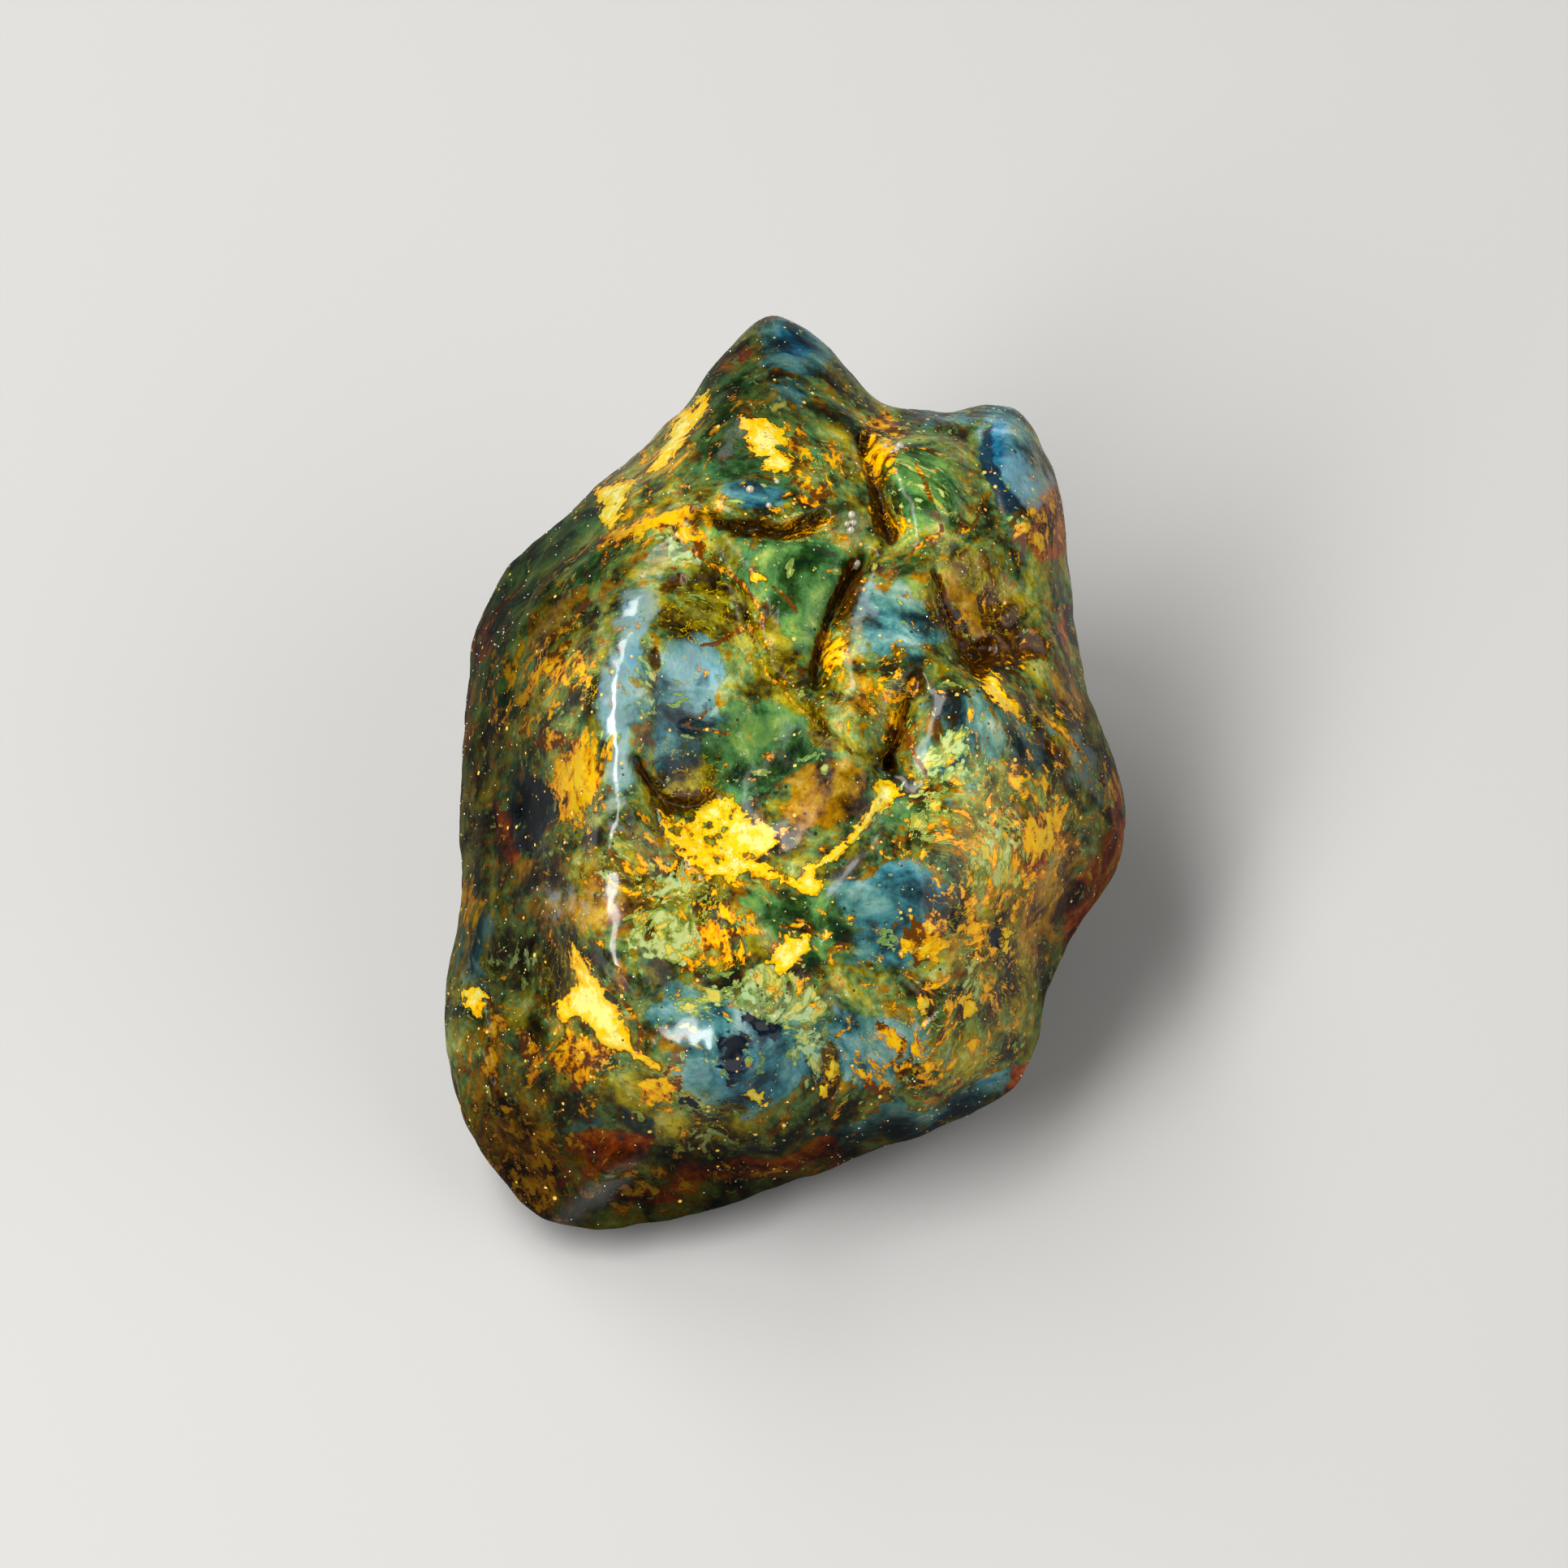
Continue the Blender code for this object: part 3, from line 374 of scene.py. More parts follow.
# Soft fields of colour: middle (across, down), half-lengths along and across, turn in degrees, strength.
FIELDS = {
    "blue": (
        (976, 424, 50, 40, 0, 1.0), (970, 488, 34, 22, 0, 0.6), (925, 614, 46, 22, 0, 0.9),
        (1238, 545, 34, 66, 15, 1.0), (1150, 508, 52, 12, 0, 0.6), (852, 850, 44, 84, 0, 0.8),
        (1110, 772, 54, 46, 0, 0.8), (1070, 740, 36, 30, 0, 0.5), (1108, 1096, 76, 34, 0, 0.9),
        (1088, 1160, 48, 44, 0, 0.7), (924, 1302, 92, 66, 0, 0.9), (1080, 1292, 76, 50, 0, 0.8),
        (1214, 1334, 40, 16, 24, 1.0), (1100, 1382, 120, 26, 14, 0.7), (592, 1180, 30, 62, 0, 0.5),
        (782, 830, 26, 110, 4, 0.5), (1226, 898, 84, 34, -32, 0.6), (1344, 1090, 28, 40, 0, 0.4),
        (830, 1246, 52, 40, 0, 0.6), (742, 1400, 80, 40, 0, 0.4), (1180, 955, 40, 60, 0, 0.3),
        (1060, 1000, 60, 30, 0, 0.3), (1150, 900, 40, 50, 0, 0.4), (640, 1130, 40, 30, 0, 0.3),
    ),
    # Pale bloom in the resin, and a painted sheen along the main ridge and the right shoulder.
    "pale": (
        (852, 832, 34, 62, 0, 0.8), (1266, 590, 24, 52, 18, 0.9), (1100, 776, 50, 34, 0, 0.3),
        (872, 1334, 58, 28, 0, 0.25), (1334, 942, 26, 44, 28, 0.6), (776, 790, 26, 90, -8, 0.9),
        (762, 920, 24, 90, 0, 0.8), (700, 1112, 62, 30, 0, 0.4), (1350, 962, 15, 46, 28, 0.8),
        (1080, 955, 50, 30, 0, 0.3), (920, 610, 34, 14, 0, 0.4), (1190, 1240, 30, 30, 0, 0.3),
        (1000, 1250, 60, 30, 0, 0.3),
    ),
    "leaf": (
        (936, 918, 84, 48, 0, 1.0), (962, 702, 74, 46, 0, 1.0), (890, 738, 40, 26, 0, 0.5),
        (972, 560, 66, 66, 0, 0.5), (1142, 600, 48, 66, 0, 0.7), (880, 480, 50, 74, -30, 0.6),
        (1130, 720, 40, 30, 0, 0.4), (1000, 1150, 60, 36, 0, 0.6), (1110, 1002, 42, 30, 0, 0.5),
        (622, 800, 50, 100, -24, 1.0), (1190, 930, 50, 40, 0, 0.4), (1140, 1250, 30, 30, 0, 0.4),
        (690, 700, 50, 90, -40, 0.9), (880, 560, 46, 46, 0, 0.5), (700, 900, 60, 60, 0, 0.3),
    ),
    "olive": (
        (640, 1402, 86, 112, 20, 0.5), (602, 1170, 40, 62, 0, 0.5), (872, 1392, 64, 34, 0, 0.8),
        (1204, 744, 62, 72, 0, 0.8), (1300, 900, 62, 50, 0, 0.5), (1242, 1150, 60, 122, 0, 0.6),
        (884, 690, 50, 34, 0, 0.5), (842, 950, 52, 34, 0, 0.7), (946, 800, 26, 90, 40, 0.6),
        (1072, 862, 42, 50, 0, 0.5), (762, 1090, 72, 62, 0, 0.5), (690, 1212, 42, 62, 0, 0.6),
        (782, 1332, 62, 50, 0, 0.4), (690, 742, 42, 62, 0, 0.5), (1020, 1310, 36, 50, 0, 0.5),
    ),
    "ember": (
        (1010, 976, 62, 42, -14, 0.6), (905, 440, 26, 12, 40, 0.7), (577, 892, 12, 62, 0, 0.7),
        (1240, 1040, 30, 50, 0, 0.5), (1292, 1060, 46, 52, 0, 0.7), (1322, 862, 24, 62, 20, 0.5),
        (700, 1122, 62, 26, 0, 0.5), (1180, 1060, 32, 32, 0, 0.4), (690, 760, 14, 62, -40, 0.6),
        (660, 1070, 60, 30, 0, 0.5), (1180, 1140, 30, 60, 0, 0.4), (1060, 850, 30, 40, 0, 0.5),
        (1190, 740, 40, 60, 0, 0.4), (1290, 1130, 40, 90, -22, 0.5), (980, 1010, 40, 20, 20, 0.4),
        (760, 1100, 40, 60, 0, 0.4), (1240, 780, 60, 50, 0, 0.5), (650, 1420, 60, 90, 20, 0.7),
        (600, 1300, 30, 60, 0, 0.4),
    ),
    # Red-brown stain, and a painted glow of light through the amber along the underside and the thin edges.
    "rust": (
        (1296, 640, 16, 54, 8, 1.0), (930, 1440, 110, 16, 8, 1.0), (762, 1414, 50, 26, 0, 0.8),
        (1258, 1330, 20, 28, -20, 0.9), (1378, 1000, 12, 60, 0, 0.9), (1346, 1110, 20, 90, -22, 0.9),
        (626, 1030, 16, 46, 20, 0.9), (586, 790, 15, 42, -20, 0.7), (908, 440, 20, 8, 40, 0.6),
        (1280, 1060, 20, 40, 0, 0.5), (700, 1440, 40, 40, 0, 0.4), (800, 1470, 60, 14, 0, 0.7),
        (1140, 1340, 24, 14, 0, 0.4), (1316, 780, 10, 40, 0, 0.6),
    ),
    "lime": (
        (822, 1150, 52, 30, 0, 1.0), (940, 1226, 72, 28, -8, 0.9), (1000, 1292, 30, 40, 0, 0.8),
        (1226, 1056, 42, 52, 0, 0.9), (1166, 932, 46, 40, 0, 0.8), (836, 1092, 36, 22, 0, 0.8),
        (872, 1402, 42, 26, 0, 0.7), (800, 838, 22, 44, 0, 0.7), (700, 715, 18, 30, -30, 0.7),
        (832, 672, 36, 10, -30, 0.9), (1136, 1000, 32, 36, 0, 0.6), (750, 905, 18, 15, 0, 0.7),
        (645, 1180, 20, 15, 0, 0.7), (1196, 1202, 26, 42, 0, 0.6), (1356, 970, 12, 42, 28, 0.7),
        (590, 1232, 20, 16, 0, 0.8), (862, 1250, 32, 30, 0, 0.5), (772, 1060, 36, 30, 0, 0.5),
        (1132, 610, 42, 62, 0, 0.3), (940, 480, 42, 30, 0, 0.3), (900, 1290, 30, 20, 0, 0.3),
        (1015, 730, 16, 30, -20, 0.5), (980, 660, 40, 16, 0, 0.4),
    ),
    "ochre": (
        (716, 960, 36, 66, -12, 1.0), (652, 850, 46, 62, -30, 0.8), (726, 832, 20, 46, 25, 0.7),
        (640, 792, 62, 30, 40, 0.5), (1086, 560, 32, 42, 0, 0.9), (1000, 572, 50, 30, 0, 0.7),
        (1030, 802, 22, 30, 0, 0.6), (1100, 642, 30, 30, 0, 0.4), (1092, 872, 30, 60, 0, 0.7),
        (1286, 1030, 36, 56, 0, 0.9), (1252, 966, 42, 26, 0, 0.5), (1202, 1132, 30, 62, 0, 0.6),
        (1137, 1155, 44, 40, 0, 0.2), (704, 1302, 64, 46, 0, 0.4), (816, 1336, 32, 26, 0, 0.9),
        (882, 1150, 42, 42, 0, 0.5), (782, 1072, 30, 62, 0, 0.6), (580, 1112, 20, 36, 0, 0.9),
        (610, 1282, 12, 62, 0, 0.8), (602, 832, 42, 82, 0, 0.4), (762, 612, 42, 26, 30, 0.5),
        (722, 682, 62, 24, 40, 0.3), (832, 532, 26, 62, -32, 0.8), (802, 642, 62, 20, 14, 0.9),
        (872, 642, 30, 20, 0, 0.8), (1100, 1292, 62, 30, 0, 0.5), (1062, 1322, 42, 20, 0, 0.5),
        (782, 1452, 62, 20, 0, 0.6), (660, 1430, 62, 82, 20, 0.75), (1312, 902, 42, 62, 0, 0.5),
        (1370, 972, 15, 32, 0, 0.9), (1002, 652, 62, 20, 0, 0.5), (1152, 1312, 62, 42, 0, 0.4),
        (1290, 640, 30, 50, 0, 0.7), (860, 820, 34, 40, 0, 0.4), (920, 1448, 100, 16, 8, 0.6),
        (1000, 1180, 120, 60, 0, 0.35), (1220, 1050, 120, 160, 20, 0.45), (860, 1080, 90, 60, 0, 0.5),
        (1180, 1260, 90, 70, 0, 0.45), (1130, 480, 60, 20, 0, 0.3), (900, 520, 90, 60, 0, 0.3),
    ),
    "bead": (
        (1086, 550, 7, 6, 0, 1.0), (1101, 556, 7, 6, 0, 1.0), (1053, 650, 7, 7, 0, 1.0),
        (1064, 666, 7, 7, 0, 1.0), (1056, 700, 5, 8, -20, 0.6), (922, 616, 34, 18, 0, 0.04),
    ),
    # Painted shade: darkens the colours, and dulls the coat, on the underside, the lower edge, the far edges,
    # the left flank and the top, where the lump faces away from the lamps.
    "dusk": (
        (900, 1506, 420, 136, 12, 1.0), (930, 1452, 270, 54, 9, 0.9), (1350, 1150, 60, 150, -22, 0.8),
        (1250, 1400, 200, 60, 22, 0.8), (650, 1430, 130, 140, 20, 1.0), (590, 950, 96, 280, 0, 0.92),
        (650, 720, 96, 200, -36, 0.92), (1200, 780, 60, 60, 0, 0.3), (1060, 470, 70, 30, -40, 0.4),
        (900, 480, 90, 110, -20, 0.8), (936, 922, 84, 44, 0, 0.3), (1010, 976, 50, 34, 0, 0.25),
        (620, 1200, 84, 160, 0, 0.65), (1312, 640, 26, 110, 8, 0.5), (1356, 960, 36, 160, 8, 0.7),
        (690, 1010, 60, 110, 0, 0.35),
    ),
    # Blue-black resin, and painted shade in the pits, the hollows and along the underside.
    "deep": (
        (1224, 802, 40, 20, 8, 0.75), (1178, 762, 9, 48, 30, 0.8), (1210, 818, 20, 22, 0, 0.8),
        (1226, 575, 16, 56, 12, 1.0), (1240, 620, 22, 30, 0, 0.7), (656, 1000, 34, 56, 10, 0.9),
        (905, 1300, 26, 34, 0, 0.6), (940, 1264, 30, 18, -30, 0.6), (1222, 1152, 12, 14, 0, 0.6),
        (860, 850, 12, 40, 10, 0.4), (830, 935, 14, 18, 0, 0.5), (592, 1170, 16, 50, 0, 0.6),
        (1160, 1380, 90, 14, 16, 0.7), (870, 560, 14, 10, 0, 0.3), (1020, 480, 30, 16, -45, 0.5),
        (1052, 500, 16, 26, 30, 0.5), (770, 1395, 60, 24, 0, 0.5), (1000, 1400, 120, 14, 8, 0.6),
    ),
    # Painted light: lightens the colours on the right side of the face and on the knob, where the lamps fall
    # more strongly.
    "fair": (
        (1110, 790, 80, 80, 0, 0.35), (1140, 640, 50, 70, 0, 0.65), (1220, 1000, 110, 120, 0, 0.35),
        (900, 1150, 110, 60, 0, 0.2), (850, 850, 40, 90, 0, 0.2), (1160, 940, 60, 60, 0, 0.45),
        (1240, 860, 50, 70, 0, 0.5),
    ),
    "wet": (
        (776, 780, 20, 70, -18, 1.0), (752, 900, 18, 120, 0, 1.0), (744, 1080, 26, 100, 3, 1.0),
        (760, 1190, 16, 50, 36, 1.0), (734, 1470, 60, 14, 37, 1.0), (852, 1290, 40, 40, 0, 1.0),
    ),
    "dull": (
        (1010, 976, 70, 54, 0, 1.0), (936, 930, 90, 60, 0, 0.8), (895, 720, 50, 74, 30, 0.9),
        (990, 860, 44, 110, 44, 0.9), (960, 700, 70, 60, 0, 0.6), (1085, 605, 20, 70, 12, 0.7),
    ),
    "hollow": (
        (1206, 806, 30, 20, 0, 0.9), (1226, 742, 20, 40, 0, 0.5), (1082, 632, 13, 40, 15, 0.9),
        (1046, 738, 12, 44, -22, 0.8), (846, 986, 48, 15, 10, 0.9), (930, 650, 38, 12, 8, 1.0),
        (1072, 550, 14, 36, 0, 0.8), (832, 716, 28, 12, 30, 0.7), (1106, 902, 12, 38, -14, 0.9),
        (1020, 1320, 18, 48, 0, 0.7), (1130, 842, 24, 30, 0, 0.6), (1028, 860, 14, 10, 0, 0.6),
        (1260, 800, 46, 24, 10, 0.7), (1160, 730, 12, 42, 20, 0.6), (1012, 800, 12, 34, 0, 0.6),
        (1140, 1216, 16, 14, 0, 0.6), (690, 1150, 24, 34, 0, 0.4), (810, 812, 9, 14, 0, 1.0),
        (1096, 942, 12, 12, 0, 1.0), (1140, 1240, 18, 24, 0, 0.5), (1330, 1150, 40, 90, -22, 0.35),
    ),
}

TIGHT_FIELDS = ("hollow", "bead", "wet")  # fields that keep close to their drawn places

# How high the noise stands where each colour takes a patch of the hidden sides.
WILD_LEVELS = {
    "blue": 0.12, "leaf": 0.05, "olive": 0.02, "ember": 0.22, "lime": 0.20, "ochre": 0.05, "hollow": 0.42,
    "dusk": 0.10, "rust": 0.34, "deep": 0.36}
WILD_START = 0.97  # share of the way to the widest line where the hidden sides' colours begin
WILD_FADE = 0.25
WILD_SIZE = 6.5  # millimetres across a patch of them
WILD_STRIDE = 7.0  # how far apart in the noise two colours' patches are taken
WILD_SLOPE = 0.12
WILD_FLAKES = (4.2, 61.0)  # size, and place in the noise, of the hidden sides' flakes
WILD_FLAKE_REACH = 5.0
WILD_FLAKE_LEVEL = 2.3
DRAWN_CLEARANCE = 12.0  # keeps those flakes off the broad face

# Patches with an edge of their own: outlines on the grid.
PATCHES = {
    "blue": (
        ((828, 796), (850, 776), (874, 782), (890, 806), (894, 842), (884, 872), (862, 894), (848, 926),
         (826, 950), (806, 944), (802, 910), (812, 868), (812, 828)),
        ((1064, 1076), (1092, 1058), (1130, 1064), (1168, 1084), (1164, 1112), (1128, 1120), (1088, 1114)),
        ((884, 600), (906, 590), (936, 598), (964, 600), (968, 626), (938, 640), (904, 636), (886, 622)),
        ((852, 1258), (886, 1236), (930, 1246), (968, 1276), (996, 1310), (980, 1352), (930, 1376),
         (880, 1356), (850, 1320)),
        ((1172, 1356), (1196, 1334), (1236, 1312), (1254, 1318), (1232, 1344), (1192, 1366)),
    ),
    "leaf": (
        ((848, 896), (900, 872), (950, 866), (1000, 890), (1050, 936), (1000, 944), (960, 956), (930, 976),
         (892, 986), (850, 966), (830, 930)),
        ((872, 650), (930, 668), (990, 664), (1030, 690), (1024, 740), (1004, 800), (990, 830), (960, 800),
         (944, 752), (910, 708), (876, 690)),
        ((900, 1104), (940, 1092), (990, 1110), (1040, 1090), (1050, 1130), (1000, 1146), (950, 1134)),
    ),
    "olive": (
        ((810, 744), (850, 712), (900, 716), (936, 752), (926, 780), (880, 792), (836, 782), (806, 772)),
        ((806, 970), (850, 958), (900, 984), (870, 1000), (836, 1006), (812, 992)),
        ((922, 776), (936, 772), (962, 830), (1000, 872), (1046, 916), (1084, 944), (1070, 952),
         (1020, 914), (974, 876), (944, 838)),
    ),
    "ember": (
        ((968, 960), (1000, 940), (1040, 944), (1070, 966), (1062, 1000), (1030, 1024), (990, 1020),
         (960, 1000)),
    ),
    # Red-brown stain, and a painted glow along the underside and at the lobe's right edge.
    "rust": (
        ((1276, 600), (1296, 606), (1308, 650), (1304, 686), (1284, 690), (1270, 668), (1286, 640)),
        ((866, 1436), (920, 1424), (990, 1412), (1040, 1404), (1010, 1430), (940, 1452), (880, 1464)),
        ((612, 1010), (626, 1020), (644, 1056), (640, 1070), (622, 1050)),
    ),
    "lime": (
        ((798, 1138), (830, 1122), (866, 1132), (884, 1154), (870, 1176), (836, 1186), (804, 1170)),
        ((1196, 1012), (1226, 1000), (1252, 1014), (1262, 1050), (1246, 1084), (1216, 1098), (1200, 1070),
         (1214, 1044)),
        ((812, 1076), (846, 1080), (876, 1092), (858, 1106), (822, 1116)),
        ((806, 650), (824, 646), (850, 676), (862, 696), (846, 692), (820, 672)),
        ((912, 1198), (950, 1188), (1000, 1210), (1020, 1240), (990, 1262), (950, 1240), (920, 1224)),
        ((1130, 930), (1160, 908), (1192, 930), (1186, 964), (1150, 966)),
    ),
    "hollow": (
        ((865, 630), (890, 640), (930, 650), (962, 648), (984, 642), (1008, 636), (1012, 650), (988, 664),
         (950, 668), (910, 660), (880, 652)),
        ((1062, 545), (1078, 556), (1084, 596), (1094, 632), (1108, 662), (1100, 672), (1082, 648),
         (1068, 606), (1060, 570)),
        ((1046, 688), (1064, 690), (1062, 708), (1048, 726), (1032, 744), (1020, 780), (1010, 812),
         (1002, 842), (996, 822), (1012, 776), (1024, 738), (1036, 706)),
        ((1206, 728), (1222, 722), (1240, 740), (1246, 762), (1262, 776), (1290, 790), (1296, 812),
         (1262, 806), (1240, 800), (1222, 816), (1214, 838), (1200, 832), (1186, 806), (1200, 796),
         (1216, 784), (1212, 756)),
        ((1146, 704), (1158, 712), (1176, 752), (1192, 790), (1206, 816), (1194, 818), (1176, 788),
         (1158, 748)),
        ((776, 932), (792, 950), (812, 974), (846, 984), (884, 980), (876, 996), (840, 1000), (804, 984),
         (786, 958)),
    ),
}


class AmberSizes(bpy.types.PropertyGroup):
    """Sizes of the lump's finish, with lengths in metres."""

    cuts: bpy.props.IntProperty(
        name="Surface cuts", description="Cuts along each side of the cube the lump is shaped from",
        default=126, min=16, max=127)
    specks: bpy.props.FloatProperty(
        name="Specks per square centimetre", description="How thickly pale grains lie on the lump",
        default=40.0)
    speck_radius: bpy.props.FloatProperty(
        name="Speck radius", description="Radius of a pale grain", default=0.00006, unit="LENGTH")
    beads: bpy.props.FloatProperty(
        name="Beads per square centimetre", description="How thickly larger beads lie beside the cracks",
        default=700.0)
    bead_radius: bpy.props.FloatProperty(
        name="Bead radius", description="Radius of the largest bead", default=0.00030, unit="LENGTH")


def colour_setting(name, description, colour):
    return bpy.props.FloatVectorProperty(
        name=name, description=description, subtype="COLOR", size=3, default=colour)


class AmberColours(bpy.types.PropertyGroup):
    """Colours of the resin and its crust."""

    green: colour_setting("Green", "Resin, where it is plain", (0.068, 0.128, 0.050))
    blue: colour_setting("Blue", "Resin with a blue bloom", (0.062, 0.165, 0.150))
    yellow: colour_setting("Yellow", "Bright crust", (0.820, 0.580, 0.125))
    orange: colour_setting("Orange", "Weathered crust", (0.740, 0.265, 0.022))
    # Also the colour of the painted glow through the underside and the thin edges.
    rust: colour_setting("Rust", "Red-brown stain", (0.360, 0.060, 0.010))
    lime: colour_setting("Lime", "Pale wisps", (0.220, 0.300, 0.090))
    # Dark brown laid in the cracks, pits and hollows.
    hollow: colour_setting("Hollow", "Dirt in cracks and pits", (0.020, 0.007, 0.002))


# ---------------------------------------------------------------- the lump's form


def closed_curve(points, steps=12):
    """Points along a smooth closed curve that passes through the given ones."""
    here = np.array(points)
    before = np.roll(here, 1, axis=0)
    after = np.roll(here, -1, axis=0)
    beyond = np.roll(here, -2, axis=0)
    t = np.linspace(0.0, 1.0, steps, endpoint=False)[:, None, None]
    bend = 2 * before - 5 * here + 4 * after - beyond
    twist = 3 * here - before - 3 * after + beyond
    curve = here + 0.5 * ((after - before) * t + bend * t**2 + twist * t**3)
    return curve.transpose(1, 0, 2).reshape(-1, here.shape[1])


def widest_line(angle):
    """Distance from the middle, and w, of the widest line in each direction round the face."""
    u, v, height = closed_curve(OUTLINE).T
    w = (height - FACE_HEIGHT - v * math.cos(FACE_TILT)) / math.sin(FACE_TILT)
    round_face = np.arctan2(v, u)
    reach = np.interp(angle, round_face, np.hypot(u, v), period=math.tau)
    return reach, np.interp(angle, round_face, w, period=math.tau)


def soft_least(values, softness):
    """The least of several surfaces, with the edges where they cross rounded off."""
    least = np.min(values, axis=0)
    return least - softness * np.log(np.sum(np.exp((least - values) / softness), axis=0))


def kept_above(rise):
    """A rise that fades towards nothing instead of turning negative."""
    return LEAST_RISE * np.logaddexp(0.0, rise / LEAST_RISE)


def path_offset(u, v, path):
    """How far each point is from a path of straight runs, and how far to the left of its nearest run."""
    nearest = np.full(u.shape, np.inf)
    left = np.zeros(u.shape)
    for (u0, v0), (u1, v1) in zip(path, path[1:]):
        du = u1 - u0
        dv = v1 - v0
        along = np.clip(((u - u0) * du + (v - v0) * dv) / (du * du + dv * dv), 0.0, 1.0)
        away = np.hypot(u - u0 - along * du, v - v0 - along * dv)
        closer = away < nearest
        nearest = np.where(closer, away, nearest)
        left = np.where(closer, (du * (v - v0) - dv * (u - u0)) / math.hypot(du, dv), left)
    return nearest, left


def oval(across, upward, centre, half, turn):
    """Squared distance from the middle of an oval, one on its edge."""
    cos, sin = math.cos(math.radians(turn)), math.sin(math.radians(turn))
    du = across - centre[0]
    dv = upward - centre[1]
    return ((du * cos + dv * sin) / half[0]) ** 2 + ((dv * cos - du * sin) / half[1]) ** 2


def on_grid(point):
    """A point of the marks' grid as (u, v) in millimetres."""
    return (point[0] - GRID_MIDDLE[0]) * GRID_PITCH, (GRID_MIDDLE[1] - point[1]) * GRID_PITCH


def path_on_grid(path):
    return [on_grid(point) for point in path]


def front_face(u, v):
    """Height w of the broad face, before it rounds over to the widest line."""
    facets = [w0 + (u - u0) * su + (v - v0) * sv for (u0, v0, w0), (su, sv) in FRONT_FACETS]
    face = soft_least(np.array(facets), FRONT_SOFTNESS)
    for centre, half, turn, rise, flatness in SWELLS:
        face += rise * np.exp(-(oval(u, v, centre, half, turn) ** flatness))
    for index, (path, rise, width) in enumerate(LINES):
        blunt = LINE_BLUNTNESS if index else RIDGE_BLUNTNESS
        away = np.hypot(path_offset(u, v, path)[0], blunt) - blunt
        face += rise * np.exp(-away / width)
    for path, rise, step, fade in LEDGES:
        away, left = path_offset(u, v, path)
        face += rise * np.exp(-away / fade) * 0.5 * (1.0 + np.tanh(left / step))
    return face


def back_face(u, v):
    """Height w of the hidden facets, below the broad face."""
    cos, sin = math.cos(FACE_TILT), math.sin(FACE_TILT)
    facets = []
    for (x0, y0, z0), (nx, ny, nz) in BACK_FACETS:
        reach = nx * x0 + ny * y0 + nz * (z0 - FACE_HEIGHT)
        facets.append((reach - u * nx - v * (ny * sin + nz * cos)) / (nz * sin - ny * cos))
    return -soft_least(-np.array(facets), BACK_SOFTNESS)


def path_relief(u, v, lines):
    """Rounded crests and grooves along paths on the marks' grid."""
    rise = np.zeros(u.shape)
    for path, height, width in lines:
        rise += height * np.exp(-((path_offset(u, v, path_on_grid(path))[0] / width) ** 2))
    return rise


def fine_relief(u, v):
    """The cracks, veins and pits that are too small for the solid."""
    rise = FLAKE_RISE * np.clip(0.5 + deepest(u, v, FLAKES) / FLAKE_SLOPE, 0.0, 1.0)
    rise += path_relief(u, v, CRESTS)
    u, v = stirred(u, v, *CRACK_STIR)
    rise += path_relief(u, v, HAIRLINES)
    for across, down, radius, depth in PITS:
        pit_u, pit_v = on_grid((across, down))
        rise -= depth * np.exp(-((np.hypot(u - pit_u, v - pit_v) / radius) ** 4))
    return rise


def face_to_world(u, v, w):
    """Points of the face's own frame, in millimetres over the table."""
    cos, sin = math.cos(FACE_TILT), math.sin(FACE_TILT)
    return np.stack((u, v * sin - w * cos, FACE_HEIGHT + v * cos + w * sin), axis=-1)


def add_dents(points):
    """The worn hollows of the sides and the far end."""
    inward = DENT_MIDDLE - points
    inward /= np.linalg.norm(inward, axis=1)[:, None]
    for centre, radius, depth in DENTS:
        gap = np.linalg.norm(points - np.array(centre), axis=1) / radius
        points = points + inward * (depth * np.exp(-(gap**3)))[:, None]
    return points


def add_swells(points, size, height, shift, octaves):
    """Low swells of no fixed shape over the whole lump."""
    outward = points - SWELL_MIDDLE
    outward /= np.linalg.norm(outward, axis=1)[:, None]
    rise = [noise.fractal(Vector(point) / size + shift, 1.0, 2.0, octaves) for point in points]
    return points + outward * (height * np.array(rise))[:, None]


def lump_points(directions):
    """Where each direction of the unit sphere ends on the lump, where that is on the plane of the face with
    the back unrolled round it, and its share of the way to the widest line."""
    angle = np.arctan2(directions[:, 1], directions[:, 0])
    share = np.hypot(directions[:, 0], directions[:, 1]).clip(0.0, 1.0)
    facing = directions[:, 2] > 0.0
    reach, rim = widest_line(angle)
    u = share * reach * np.cos(angle)
    v = share * reach * np.sin(angle)
    raised = kept_above(front_face(u, v) - rim) + fine_relief(u, v)
    front = rim + raised * np.sqrt(1.0 - share**FRONT_FULLNESS)
    back = rim - kept_above(rim - back_face(u, v)) * np.sqrt(1.0 - share**BACK_FULLNESS)
    points = add_dents(face_to_world(u, v, np.where(facing, front, back)))
    points = add_swells(points, GRAIN_SIZE, GRAIN_HEIGHT, GRAIN_SHIFT, 3)
    points = add_swells(points, RIPPLE_SIZE, RIPPLE_HEIGHT, RIPPLE_SHIFT, 3)
    points = add_swells(points, DIMPLE_SIZE, DIMPLE_HEIGHT, GRAIN_SHIFT, 1)
    share = np.where(facing, share, 2.0 - share)
    return points, share * reach * np.cos(angle), share * reach * np.sin(angle), share


# ---------------------------------------------------------------- marks as attributes


